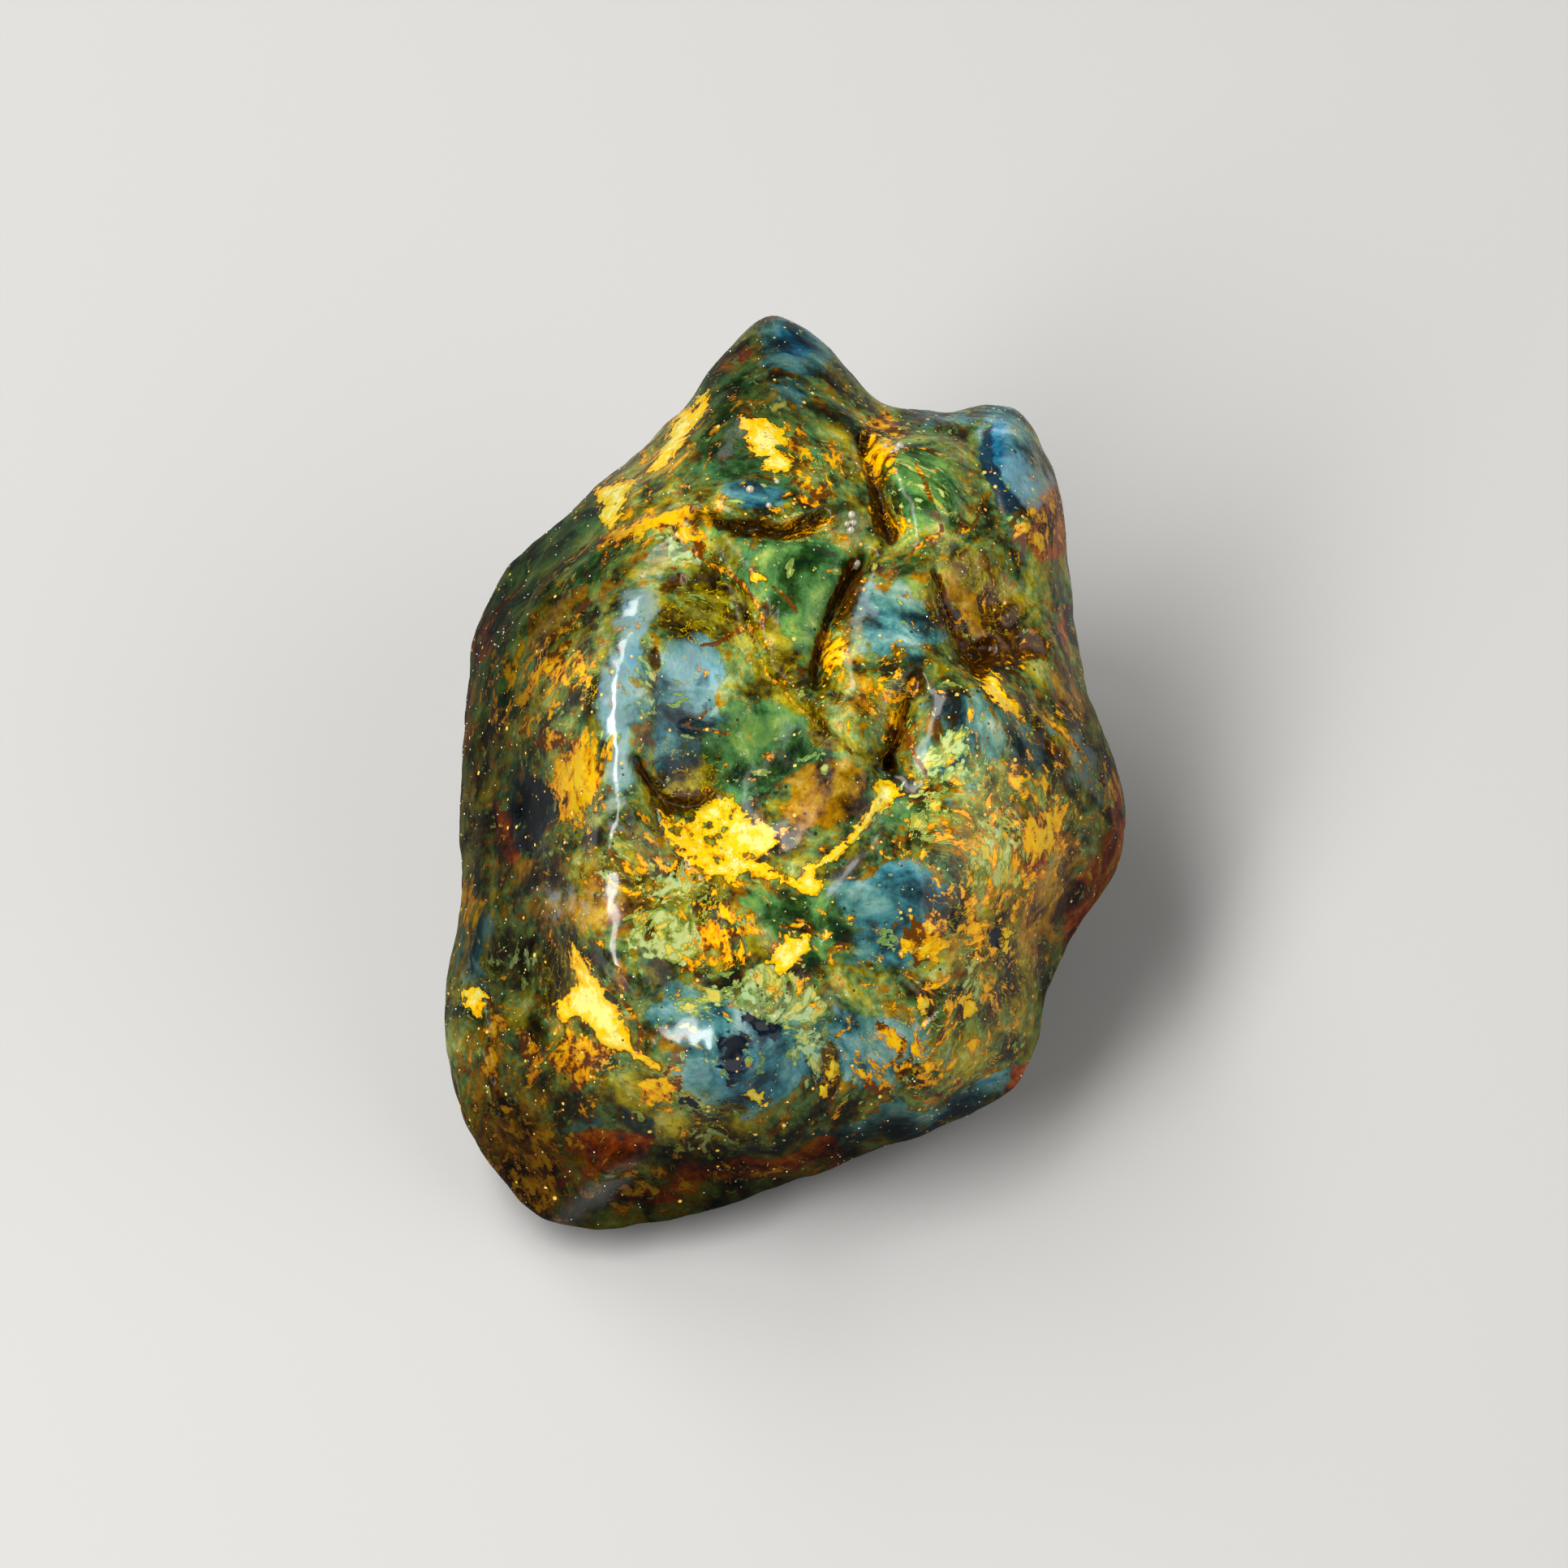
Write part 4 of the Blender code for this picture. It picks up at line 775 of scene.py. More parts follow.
def depth_inside(u, v, outline):
    """How far each point is inside an outline, in millimetres, and negative outside it."""
    corners = path_on_grid(outline)
    away = path_offset(u, v, corners + corners[:1])[0]
    inside = np.zeros(u.shape, dtype=bool)
    for (u0, v0), (u1, v1) in zip(corners, corners[1:] + corners[:1]):
        crosses = (v0 > v) != (v1 > v)
        inside ^= crosses & (u < (u1 - u0) * (v - v0) / (v1 - v0 + TINY) + u0)
    return np.where(inside, away, -away)


def deepest(u, v, outlines):
    return np.max([depth_inside(u, v, outline) for outline in outlines], axis=0)


def flake_depth(u, v):
    """How far inside a flake each point is, in millimetres, clear of the dashes through it."""
    dashes = [path_offset(u, v, path_on_grid((start, end)))[0] - width for start, end, width in DASHES]
    return np.minimum(deepest(u, v, FLAKES), np.min(dashes, axis=0))


def vein_depth(u, v):
    return np.max([width - path_offset(u, v, path_on_grid(path))[0] for path, width in VEINS], axis=0)


def field_strength(u, v, ovals):
    """Soft ovals laid over each other."""
    clear = np.ones(u.shape)
    for across, down, half_along, half_across, turn, strength in ovals:
        half = (half_along * GRID_PITCH, half_across * GRID_PITCH)
        away = oval(u, v, on_grid((across, down)), half, turn) ** FIELD_FLATNESS
        clear *= 1.0 - strength * np.exp(-away)
    return 1.0 - clear


def face_marks(u, v, share, flow):
    """Every mark's value at each point, by the attribute's name."""
    wild = np.clip((share - WILD_START) / WILD_FADE, 0.0, 1.0)
    wild_flakes = wild_noise(flow, *WILD_FLAKES) * WILD_FLAKE_REACH - WILD_FLAKE_LEVEL
    marks = {
        "flake": np.maximum(flake_depth(u, v), wild_flakes - DRAWN_CLEARANCE * (1.0 - wild)),
        "crust": deepest(u, v, OCHRES), "night": deepest(u, v, NIGHTS), "vein": vein_depth(u, v)}
    near = stirred(u, v, *NEAR_STIR)
    far = stirred(*near, *FAR_STIR)
    for name, ovals in FIELDS.items():
        across, upward = near if name in TIGHT_FIELDS else far
        marks[name] = field_strength(across, upward, ovals)
        for outline in PATCHES.get(name, ()):
            inside = np.clip(0.5 + depth_inside(across, upward, outline) / PATCH_SLOPE, 0.0, PATCH_FULLNESS)
            marks[name] = np.maximum(marks[name], inside)
    for seed, (name, level) in enumerate(WILD_LEVELS.items()):
        patch = np.clip((wild_noise(flow, WILD_SIZE, WILD_STRIDE * seed) - level) / WILD_SLOPE, 0.0, 1.0)
        marks[name] = np.maximum(marks[name], wild * patch)
    return marks


def wild_noise(flow, size, seed):
    """Noise from about -1 to 1 along the flow, for the sides that have no drawn marks."""
    shift = Vector((seed, 3.0, -seed))
    return np.array([noise.noise(Vector(point) / size + shift) for point in flow])


def stirred(u, v, size, reach):
    """The face's plane, pushed about at random over a given size."""
    pushes = np.array([noise.noise_vector(Vector((a, b, size)) / size) for a, b in zip(u, v)])
    return u + reach * pushes[:, 0], v + reach * pushes[:, 1]


def flow_lines(points):
    """Where the resin at each point flowed from, in millimetres: colours streak and curl along it."""
    moved = points
    for size, reach in FLOW_PUSHES:
        pushes = [noise.noise_vector(Vector(point) / size + GRAIN_SHIFT) for point in moved]
        moved = moved + reach * np.array(pushes)
    return moved


def sphere_directions(cuts):
    """A cube's grid, blown up to a sphere and drawn together on the side that faces +Z."""
    cube = bmesh.new()
    bmesh.ops.create_cube(cube, size=2.0)
    bmesh.ops.subdivide_edges(cube, edges=cube.edges[:], cuts=cuts, use_grid_fill=True)
    corners = np.tan(np.array([corner.co for corner in cube.verts]) * math.pi / 4)
    corners /= np.linalg.norm(corners, axis=1)[:, None]
    mesh = bpy.data.meshes.new(LUMP_NODE)
    cube.to_mesh(mesh)
    cube.free()
    height = corners[:, 2].clip(LOWEST, 1.0)
    slope = CROWDING * np.sqrt((1.0 - height) / (1.0 + height))
    flat = np.hypot(corners[:, 0], corners[:, 1]).clip(SMALL)
    corners[:, :2] *= (2.0 * slope / (1.0 + slope**2) / flat)[:, None]
    corners[:, 2] = (1.0 - slope**2) / (1.0 + slope**2)
    return mesh, corners


def lump_mesh(sizes):
    """The lump's mesh with its marks, and how far it is moved to lie where the solid does."""
    noise.seed_set(STIR_SEED)
    mesh, directions = sphere_directions(sizes.cuts)
    points, u, v, share = lump_points(directions)
    flow = flow_lines(points)
    points[:, 2] = points[:, 2].clip(0.0)
    low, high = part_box(LUMP_NODE)
    middle = (points.min(axis=0) + points.max(axis=0)) / 2
    points[:, :2] += np.array((low + high)[:2]) / 2 / MM - middle[:2]
    mesh.vertices.foreach_set("co", (points * MM).astype(np.float32).ravel())
    for name, values in face_marks(u, v, share, flow).items():
        layer = mesh.attributes.new(name, "FLOAT", "POINT")
        layer.data.foreach_set("value", values.astype(np.float32))
    layer = mesh.attributes.new("flow", "FLOAT_VECTOR", "POINT")
    layer.data.foreach_set("vector", flow.astype(np.float32).ravel())
    mesh.shade_smooth()
    mesh.update()
    shift = np.array((low + high)[:2]) / 2 - middle[:2] * MM
    return mesh, shift


# ---------------------------------------------------------------- shader parts


class Graph:
    """Adds nodes to one tree, with each input set to a value or linked from a socket."""

    def __init__(self, tree):
        self.tree = tree

    def add(self, kind, inputs=(), **settings):
        node = self.tree.nodes.new(kind)
        for name, value in settings.items():
            setattr(node, name, value)
        for name, value in dict(inputs).items():
            self.feed(node.inputs[name], value)
        return node

    def feed(self, socket, value):
        if isinstance(value, bpy.types.NodeSocket):
            self.tree.links.new(value, socket)
        else:
            socket.default_value = value

    def sum(self, operation, *values):
        return self.add("ShaderNodeMath", enumerate(values), operation=operation).outputs[0]

    def sway(self, value, reach, base):
        """A base moved up and down by a noise about the noise's middle."""
        return self.sum("MULTIPLY_ADD", self.sum("SUBTRACT", value, 0.5), reach, base)

    def gap(self, value, middle):
        """How far a value is from a middle, either way."""
        return self.sum("ABSOLUTE", self.sum("SUBTRACT", value, middle))

    def scaled(self, vector, factor):
        return self.add("ShaderNodeVectorMath", {0: vector, "Scale": factor}, operation="SCALE").outputs[0]

    def moved(self, vector, shift):
        return self.add("ShaderNodeVectorMath", {0: vector, 1: shift}, operation="ADD").outputs[0]

    def noise(self, where, scale, detail=2.0, rough=0.5):
        inputs = {"Vector": where, "Scale": scale, "Detail": detail, "Roughness": rough}
        return self.add("ShaderNodeTexNoise", inputs).outputs[0]

    def cells(self, where, scale):
        return self.add("ShaderNodeTexVoronoi", {"Vector": where, "Scale": scale}).outputs

    def step(self, value, low, high):
        inputs = {"Value": value, "From Min": low, "From Max": high}
        return self.add("ShaderNodeMapRange", inputs, interpolation_type="SMOOTHSTEP").outputs[0]

    def blend(self, amount, below, above, how="MIX"):
        node = self.add("ShaderNodeMix", data_type="RGBA", blend_type=how, clamp_factor=True)
        for index, value in ((0, amount), (6, below), (7, above)):
            self.feed(node.inputs[index], (*value, 1.0) if isinstance(value, tuple) else value)
        return node.outputs[2]

    def ramp(self, value, stops):
        node = self.add("ShaderNodeValToRGB", {"Fac": value})
        elements = node.color_ramp.elements
        while len(elements) < len(stops):
            elements.new(0.5)
        for element, (place, colour) in zip(elements, stops):
            element.position = place
            element.color = (*colour, 1.0)
        return node.outputs[0]

    def mark(self, name):
        return self.add("ShaderNodeAttribute", attribute_name=name).outputs["Fac"]

    def place_in_mm(self):
        return self.scaled(self.add("ShaderNodeTexCoord").outputs["Object"], 1.0 / MM)


def group_tree(name, inputs, outputs):
    """An empty shader group with named sockets."""
    tree = bpy.data.node_groups.new(name, "ShaderNodeTree")
    for label, kind, value in inputs:
        socket = tree.interface.new_socket(name=label, in_out="INPUT", socket_type=kind)
        if value is not None:
            socket.default_value = value
    for label in outputs:
        tree.interface.new_socket(name=label, in_out="OUTPUT", socket_type="NodeSocketFloat")
    return tree, tree.nodes.new("NodeGroupInput").outputs, tree.nodes.new("NodeGroupOutput").inputs


def blot_group():
    """Blots with a crisp edge: where they are, the outline round them, and how deep inside they are."""
    tree, given, result = group_tree(
        "blots",
        (("Where", "NodeSocketVector", None), ("Scale", "NodeSocketFloat", 1.0),
         ("Strength", "NodeSocketFloat", 0.0), ("Level", "NodeSocketFloat", 0.6)),
        ("Mask", "Rim", "Depth"))
    graph = Graph(tree)
    field = graph.noise(given["Where"], given["Scale"], 3.0, 0.52)
    thickened = graph.sum("MULTIPLY_ADD", given["Strength"], 0.22, field)
    value = graph.sum("SUBTRACT", thickened, given["Level"])
    graph.feed(result["Mask"], graph.step(value, 0.0, 0.012))
    graph.feed(result["Rim"], graph.step(value, -0.026, -0.004))
    graph.feed(result["Depth"], graph.sum("DIVIDE", value, 0.09))
    return tree


def speck_group():
    """Scattered round specks, and a number from 0 to 1 that is the same all over each of them."""
    tree, given, result = group_tree(
        "specks",
        (("Where", "NodeSocketVector", None), ("Scale", "NodeSocketFloat", 1.0),
         ("Size", "NodeSocketFloat", 0.15)),
        ("Disc", "Pick"))
    graph = Graph(tree)
    cells = graph.cells(given["Where"], given["Scale"])
    pick = graph.add("ShaderNodeSeparateColor", {0: cells["Color"]}).outputs
    size = graph.sum("MULTIPLY", given["Size"], graph.sum("ADD", pick[1], 0.35))
    graph.feed(result["Disc"], graph.sum("GREATER_THAN", size, cells["Distance"]))
    graph.feed(result["Pick"], pick[0])
    return tree


# ---------------------------------------------------------------- the amber's look

# Shades of each resin from its dark to its light streaks: how broken they are, then place and colour. A
# name stands for one of the panel's colours, multiplied by the number after it.
RESINS = {
    "green": ("mottled", (
        (0.34, (0.004, 0.008, 0.003)), (0.42, (0.022, 0.036, 0.009)), (0.49, ("green", 1.0)),
        (0.56, (0.155, 0.215, 0.065)), (0.64, (0.300, 0.360, 0.130)), (0.74, (0.540, 0.560, 0.270)))),
    "olive": ("mottled", (
        (0.34, (0.010, 0.006, 0.001)), (0.42, (0.058, 0.038, 0.006)), (0.49, (0.150, 0.116, 0.016)),
        (0.57, (0.270, 0.225, 0.036)), (0.68, (0.500, 0.410, 0.080)))),
    "brown": ("mottled", (
        (0.34, (0.010, 0.004, 0.001)), (0.43, (0.066, 0.026, 0.005)), (0.51, (0.180, 0.088, 0.016)),
        (0.60, (0.350, 0.195, 0.036)), (0.72, (0.560, 0.390, 0.110)))),
    "leaf": ("calm", (
        (0.34, (0.004, 0.014, 0.004)), (0.43, (0.024, 0.062, 0.014)), (0.52, (0.080, 0.185, 0.070)),
        (0.61, (0.180, 0.300, 0.085)), (0.74, (0.420, 0.500, 0.180)))),
    "blue": ("calm", (
        (0.34, (0.004, 0.012, 0.014)), (0.42, (0.022, 0.054, 0.056)), (0.50, ("blue", 1.0)),
        (0.58, (0.150, 0.275, 0.235)), (0.70, (0.360, 0.440, 0.360)))),
    "azure": ("calm", (
        (0.34, (0.004, 0.012, 0.018)), (0.43, (0.012, 0.060, 0.090)), (0.52, (0.046, 0.168, 0.225)),
        (0.62, (0.130, 0.310, 0.370)), (0.74, (0.400, 0.490, 0.530)))),
    "ember": ("mottled", (
        (0.34, (0.012, 0.005, 0.001)), (0.43, (0.100, 0.038, 0.006)), (0.51, (0.280, 0.130, 0.022)),
        (0.60, (0.460, 0.250, 0.050)), (0.72, (0.640, 0.430, 0.140)))),
    "rust": ("mottled", (
        (0.34, (0.012, 0.004, 0.001)), (0.43, ("rust", 0.35)), (0.51, ("rust", 1.0)),
        (0.60, (0.560, 0.160, 0.020)), (0.72, (0.700, 0.360, 0.080)))),
}
# Shades of what lies in and on the resin, in the same way.
CURLS = (
    (0.00, (0.350, 0.420, 0.170)), (0.20, ("lime", 1.0)), (0.42, (0.130, 0.190, 0.050)),
    (0.66, (0.300, 0.360, 0.110)), (0.90, (0.560, 0.480, 0.140)))
WISPS = ((0.00, (0.290, 0.350, 0.130)), (0.40, ("lime", 1.0)), (0.90, (0.420, 0.480, 0.240)))
HOLLOW_DARKS = ((0.34, ("hollow", 1.0)), (0.52, (0.050, 0.018, 0.004)), (0.66, (0.180, 0.070, 0.014)))
ORANGES = (
    (0.34, (0.120, 0.036, 0.006)), (0.44, ("orange", 0.55)), (0.56, ("orange", 1.0)),
    (0.74, (0.84, 0.38, 0.04)), (0.92, (0.90, 0.55, 0.09)))
YELLOWS = (
    (0.14, (0.58, 0.22, 0.012)), (0.26, (0.84, 0.42, 0.025)), (0.40, (0.90, 0.58, 0.07)),
    (0.62, ("yellow", 1.0)), (0.95, (0.93, 0.78, 0.32)))

MOTTLING = {"calm": 0.18, "mottled": 0.34}  # how far fine grain moves a resin's shades
LAID_RESINS = ("leaf", "olive", "blue", "ember", "rust")  # in this order over the plain resin
OLIVE_TURN = (0.505, 0.545)  # where the plain resin turns olive, and where brown
BROWN_TURN = (0.440, 0.400)
AZURE_RISE = (0.86, 1.0)  # how strong the blue is where it turns azure
RESIN_BITE = 1.5  # how far noise breaks up a resin's edge
RESIN_OUTLINE = (0.26, 0.38)
RESIN_EDGE = (0.34, 0.48)
VEIL_BITE = 1.6
# Veils laid on the resin: field, edge, thickness and colour. The pale veil is a pale bloom, and a painted
# sheen along the main ridge and the right shoulder; the deep veil is blue-black resin, and painted shade in
# the pits, the hollows and along the underside.
VEILS = (
    ("pale", (0.30, 0.80), 0.58, (0.30, 0.45, 0.47)),
    ("deep", (0.25, 0.70), 0.92, (0.006, 0.018, 0.034)),
)
# Blots that thicken where the lime field is strong: scale, level, shift and shades from the edge inwards.
BLOTS = (
    (0.80, 0.665, (8.1, 4.4, 2.7), CURLS),
    (1.7, 0.675, (2.1, 6.6, 4.9), WISPS),
)
HOLLOW_DARK_EDGE = (0.34, 0.62)
CRUST_SPREAD = 0.150  # how much further the orange lace spreads where its field is full
CRUST_OUTLINE = (0.600, 0.622)
CRUST_EDGE = (0.628, 0.640)
THREAD_TURN = 0.470  # where the golden threads run, how thin they are, and how near the crust
THREAD_WIDTH = (0.0085, 0.0030)
THREAD_REACH = (1.05, 1.25)
FLAKE_OUTLINE = (-0.16, -0.03)  # millimetres inside the flake's edge, so this lies round it
FLAKE_EDGE = (-0.015, 0.015)
BREAK_TURN = 0.52  # where thin breaks run through the flakes, how thin they are, and which parts have them
BREAK_WIDTH = (0.007, 0.002)
BREAK_TONE = (0.50, 0.54)

RESIN_RIM = (0.030, 0.020, 0.006)
BLOT_RIM = (0.026, 0.014, 0.004)
CRUST_RIM = (0.090, 0.030, 0.006)
# The colour of the painted shadow round each flake.
FLAKE_RIM_SHADOW = (0.075, 0.030, 0.006)
FLAKE_BREAK = (0.09, 0.04, 0.01)
GOLDEN_THREAD = (0.62, 0.44, 0.06)
BLUE_BLACK = (0.003, 0.007, 0.012)
DARK_DOT = (0.008, 0.006, 0.003)
GOLDEN_DOT = (0.80, 0.50, 0.08)
# What multiplies the colours in the painted shade, in the painted light, away from the blue, and in the teal
# parts.
PAINTED_SHADE_TINT = (0.115, 0.100, 0.070)
PAINTED_LIGHT_TINT = (1.65, 1.50, 1.20)
WARM_TINT = (1.0, 0.98, 0.84)
TEAL_TINT = (0.78, 1.00, 1.30)
DEPTH_OF_COLOUR = {"Saturation": 1.12, "Value": 0.90}
POLISH = 0.32  # weight of the coat where the skin is neither wet nor dull
GLASS = {
    "Metallic": 0.0, "IOR": 1.54, "Specular IOR Level": 0.0, "Transmission Weight": 0.10,
    "Coat Roughness": 0.14, "Coat IOR": 1.6}
ABSORPTION = {"Color": (0.85, 0.45, 0.10, 1.0), "Density": 350.0}


class AmberSkin(Graph):
    """The amber's shader, laid down in layers from the plain resin up to the specks on it.

    Four noises move the colours: tone runs from dark to light streaks, turn from one resin to the next,
    lace spreads the crust, and grain mottles all of them.
    """

    def __init__(self, tree, colours):
        super().__init__(tree)
        self.colours = colours
        self.place = self.place_in_mm()
        self.flow = self.add("ShaderNodeAttribute", attribute_name="flow").outputs["Vector"]
        self.tone = self.noise(self.flow, 0.42, 5.0, 0.56)
        self.turn = self.noise(self.moved(self.flow, (7.3, 2.9, 4.1)), 0.75, 4.0, 0.58)
        self.lace = self.noise(self.moved(self.flow, (1.7, 8.3, 6.4)), 1.05, 6.0, 0.68)
        self.grain = self.noise(self.place, 2.2, 4.0, 0.62)
        self.drift = self.sum("SUBTRACT", self.turn, 0.5)
        self.eaten = self.eaten_edge()
        self.field = {name: self.mark(name) for name in (*LAID_RESINS, "lime", "ochre", "dusk")}
        self.calmness = self.sum("MAXIMUM", self.field["leaf"], self.field["blue"])
        self.colour = None

    def eaten_edge(self):
        """How far noise eats into the edges of drawn marks, in millimetres."""
        folds = self.gap(self.noise(self.place, 0.95, 1.0), 0.5)
        creases = self.gap(self.noise(self.place, 2.6, 1.0), 0.5)
        return self.sum("MULTIPLY_ADD", folds, -2.6, self.sum("MULTIPLY_ADD", creases, -1.0, 0.32))

    def ragged(self, name, bite, softness):
        """A drawn mark's mask, its edge eaten away and spiked by noise."""
        return self.step(self.sum("MULTIPLY_ADD", self.eaten, bite, self.mark(name)), -softness, softness)

    def shades(self, value, stops):
        """A ramp through shades, with the panel's colours in place of their names."""
        chosen = []
        for place, colour in stops:
            if isinstance(colour[0], str):
                name, factor = colour
                colour = tuple(min(1.0, channel * factor) for channel in getattr(self.colours, name))
            chosen.append((place, colour))
        return self.ramp(value, chosen)

    def lay(self, amount, colour):
        """Lays a colour over what is there."""
        self.colour = self.blend(amount, self.colour, colour)

    def veil(self, mask, share, colour):
        """Lays a colour over what is there, up to a share of it."""
        self.lay(self.sum("MULTIPLY", mask, share), colour)

    def tint(self, amount, factors):
        """Multiplies what is there, channel by channel."""
        self.lay(amount, self.blend(1.0, self.colour, factors, "MULTIPLY"))

    def lay_resins(self):
        """The plain resin, and the others where their fields are strong, each with a broken edge."""
        movers = {name: self.sway(self.grain, reach, self.tone) for name, reach in MOTTLING.items()}
        resin = {name: self.shades(movers[mover], stops) for name, (mover, stops) in RESINS.items()}
        resin["blue"] = self.blend(self.step(self.field["blue"], *AZURE_RISE), resin["blue"], resin["azure"])
        self.colour = resin["green"]
        self.lay(self.step(self.turn, *OLIVE_TURN), resin["olive"])
        self.lay(self.step(self.turn, *BROWN_TURN), resin["brown"])
        for name in LAID_RESINS:
            strength = self.sum("MULTIPLY_ADD", self.drift, RESIN_BITE, self.field[name])
            self.veil(self.step(strength, *RESIN_OUTLINE), 0.30, RESIN_RIM)
            self.lay(self.step(strength, *RESIN_EDGE), resin[name])

    def lay_veils(self):
        """A pale bloom with painted sheen, and blue-black resin with painted shade."""
        for name, edge, share, colour in VEILS:
            strength = self.sum("MULTIPLY_ADD", self.drift, VEIL_BITE, self.mark(name))
            self.veil(self.step(strength, *edge), share, colour)

    def lay_blots(self):
        """Lime curls and finer wisps."""
        group = blot_group()
        for scale, level, shift, stops in BLOTS:
            inputs = {
                "Where": self.moved(self.flow, shift), "Scale": scale, "Strength": self.field["lime"],
                "Level": level}
            made = self.add("ShaderNodeGroup", inputs, node_tree=group).outputs
            self.veil(made["Rim"], 0.50, BLOT_RIM)
            self.lay(made["Mask"], self.shades(self.sway(self.grain, 0.5, made["Depth"]), stops))

    def lay_hollow_darks(self):
        """Dark brown in the cracks, pits and hollows."""
        darkening = self.step(self.sway(self.lace, 1.6, self.mark("hollow")), *HOLLOW_DARK_EDGE)
        self.veil(darkening, 0.94, self.shades(self.grain, HOLLOW_DARKS))

    def lay_crust(self):
        """Orange crust: lace where its field is strong, drawn patches, and veins. Gives its mask."""
        spread = self.sum("MULTIPLY_ADD", self.calmness, -0.03, self.lace)
        spread = self.sum("MULTIPLY_ADD", self.field["ochre"], CRUST_SPREAD, spread)
        self.veil(self.step(spread, *CRUST_OUTLINE), 0.55, CRUST_RIM)
        drawn = self.sum("MAXIMUM", self.ragged("crust", 1.0, 0.03), self.ragged("vein", 0.25, 0.04))
        mask = self.sum("MAXIMUM", self.step(spread, *CRUST_EDGE), drawn)
        richness = self.sum("MULTIPLY_ADD", self.sum("SUBTRACT", spread, 0.63), 4.5, self.grain)
        richness = self.sum("MULTIPLY_ADD", drawn, 0.34, richness)
        self.lay(mask, self.shades(richness, ORANGES))
        return mask

    def lay_threads(self):
        """Thin golden threads along the edges of the crust."""
        near = self.sum("MAXIMUM", self.field["ochre"], self.field["olive"])
        near = self.step(self.sum("ADD", near, self.sum("MULTIPLY", self.lace, 1.6)), *THREAD_REACH)
        threads = self.step(self.gap(self.turn, THREAD_TURN), *THREAD_WIDTH)
        self.veil(self.sum("MULTIPLY", threads, near), 0.85, GOLDEN_THREAD)

    def lay_flakes(self):
        """Blue-black resin, then yellow flakes with a dark rim of painted shadow round them and thin dark
        breaks. Gives their mask.
        """
        self.lay(self.ragged("night", 1.0, 0.07), BLUE_BLACK)
        inside = self.sum("MULTIPLY_ADD", self.eaten, 0.75, self.mark("flake"))
        mask = self.step(inside, *FLAKE_EDGE)
        # Painted shadow in a thin band round each flake's edge.
        self.veil(self.step(inside, *FLAKE_OUTLINE), 0.75, FLAKE_RIM_SHADOW)
        thickness = self.sum("MULTIPLY_ADD", self.lace, 0.5, self.sway(self.grain, 1.5, inside))
        breaks = self.step(self.gap(self.turn, BREAK_TURN), *BREAK_WIDTH)
        breaks = self.sum("MULTIPLY", breaks, self.step(self.tone, *BREAK_TONE))
        breaks = self.sum("MULTIPLY", breaks, 0.7)
        self.lay(mask, self.blend(breaks, self.shades(thickness, YELLOWS), FLAKE_BREAK))
        return mask

    def tint_parts(self, flakes):
        """Painted shade on the underside, edges and left flank, painted light on the right side, warmth away
        from the blue, and a teal cast.
        """
        # Painted shade, spared a little on the painted glow and more on the flakes.
        spared_glow = self.sum("MULTIPLY_ADD", self.step(self.field["rust"], 0.60, 0.90), -0.10, 1.0)
        lit_flakes = self.sum("MULTIPLY_ADD", flakes, -0.65, 1.0)
        share = self.sum("MULTIPLY", spared_glow, lit_flakes)
        self.tint(self.sum("MULTIPLY", self.field["dusk"], share), PAINTED_SHADE_TINT)
        # Painted light on the right side.
        self.tint(self.mark("fair"), PAINTED_LIGHT_TINT)
        cool = self.sum("MAXIMUM", self.field["blue"], self.mark("pale"))
        self.tint(self.sum("MULTIPLY_ADD", cool, -0.85, 1.0), WARM_TINT)
        cast = self.step(self.noise(self.moved(self.flow, (5.1, 0.7, 9.2)), 0.24), 0.47, 0.60)
        cast = self.sum("MULTIPLY_ADD", self.calmness, 0.45, cast)
        self.tint(self.sum("MULTIPLY", cast, 0.60), TEAL_TINT)
        inputs = {**DEPTH_OF_COLOUR, "Color": self.colour}
        self.colour = self.add("ShaderNodeHueSaturation", inputs).outputs[0]

    def lay_specks(self):
        """Small specks, dark and golden."""
        inputs = {"Where": self.place, "Scale": 1.7, "Size": 0.17}
        disc, pick = self.add("ShaderNodeGroup", inputs, node_tree=speck_group()).outputs
        dark = self.sum("MULTIPLY", disc, self.sum("LESS_THAN", pick, 0.20))
        golden = self.sum("MULTIPLY", disc, self.sum("GREATER_THAN", pick, 0.80))
        self.veil(dark, 0.85, DARK_DOT)
        self.veil(golden, 0.9, GOLDEN_DOT)

    def relief(self):
        """The unevenness of the skin, and the low edges of the flakes."""
        height = self.sum("MULTIPLY", self.noise(self.place, 1.9, 2.0, 0.6), 0.12)
        height = self.sum("MULTIPLY_ADD", self.step(self.mark("flake"), -0.05, 0.05), 0.05, height)
        return self.add("ShaderNodeBump", {"Height": height, "Strength": 1.0, "Distance": MM}).outputs[0]

    def finish(self, surface, crust, flakes):
        """Feeds the layers to the surface: resin under a polish, duller where the crust lies."""
        # The painted-shade field also thins the coat.
        dullness = self.sum("MAXIMUM", self.field["dusk"], self.mark("dull"))
        gloss = self.sum("MULTIPLY_ADD", dullness, -POLISH, POLISH)
        roughness = self.sum("MULTIPLY_ADD", crust, 0.10, 0.28)
        inputs = {
            "Base Color": self.colour, "Normal": self.relief(),
            "Roughness": self.sum("MULTIPLY_ADD", flakes, 0.12, roughness),
            "Coat Weight": self.sum("MAXIMUM", gloss, self.mark("wet"))}
        for name, value in {**inputs, **GLASS}.items():
            self.feed(surface.inputs[name], value)


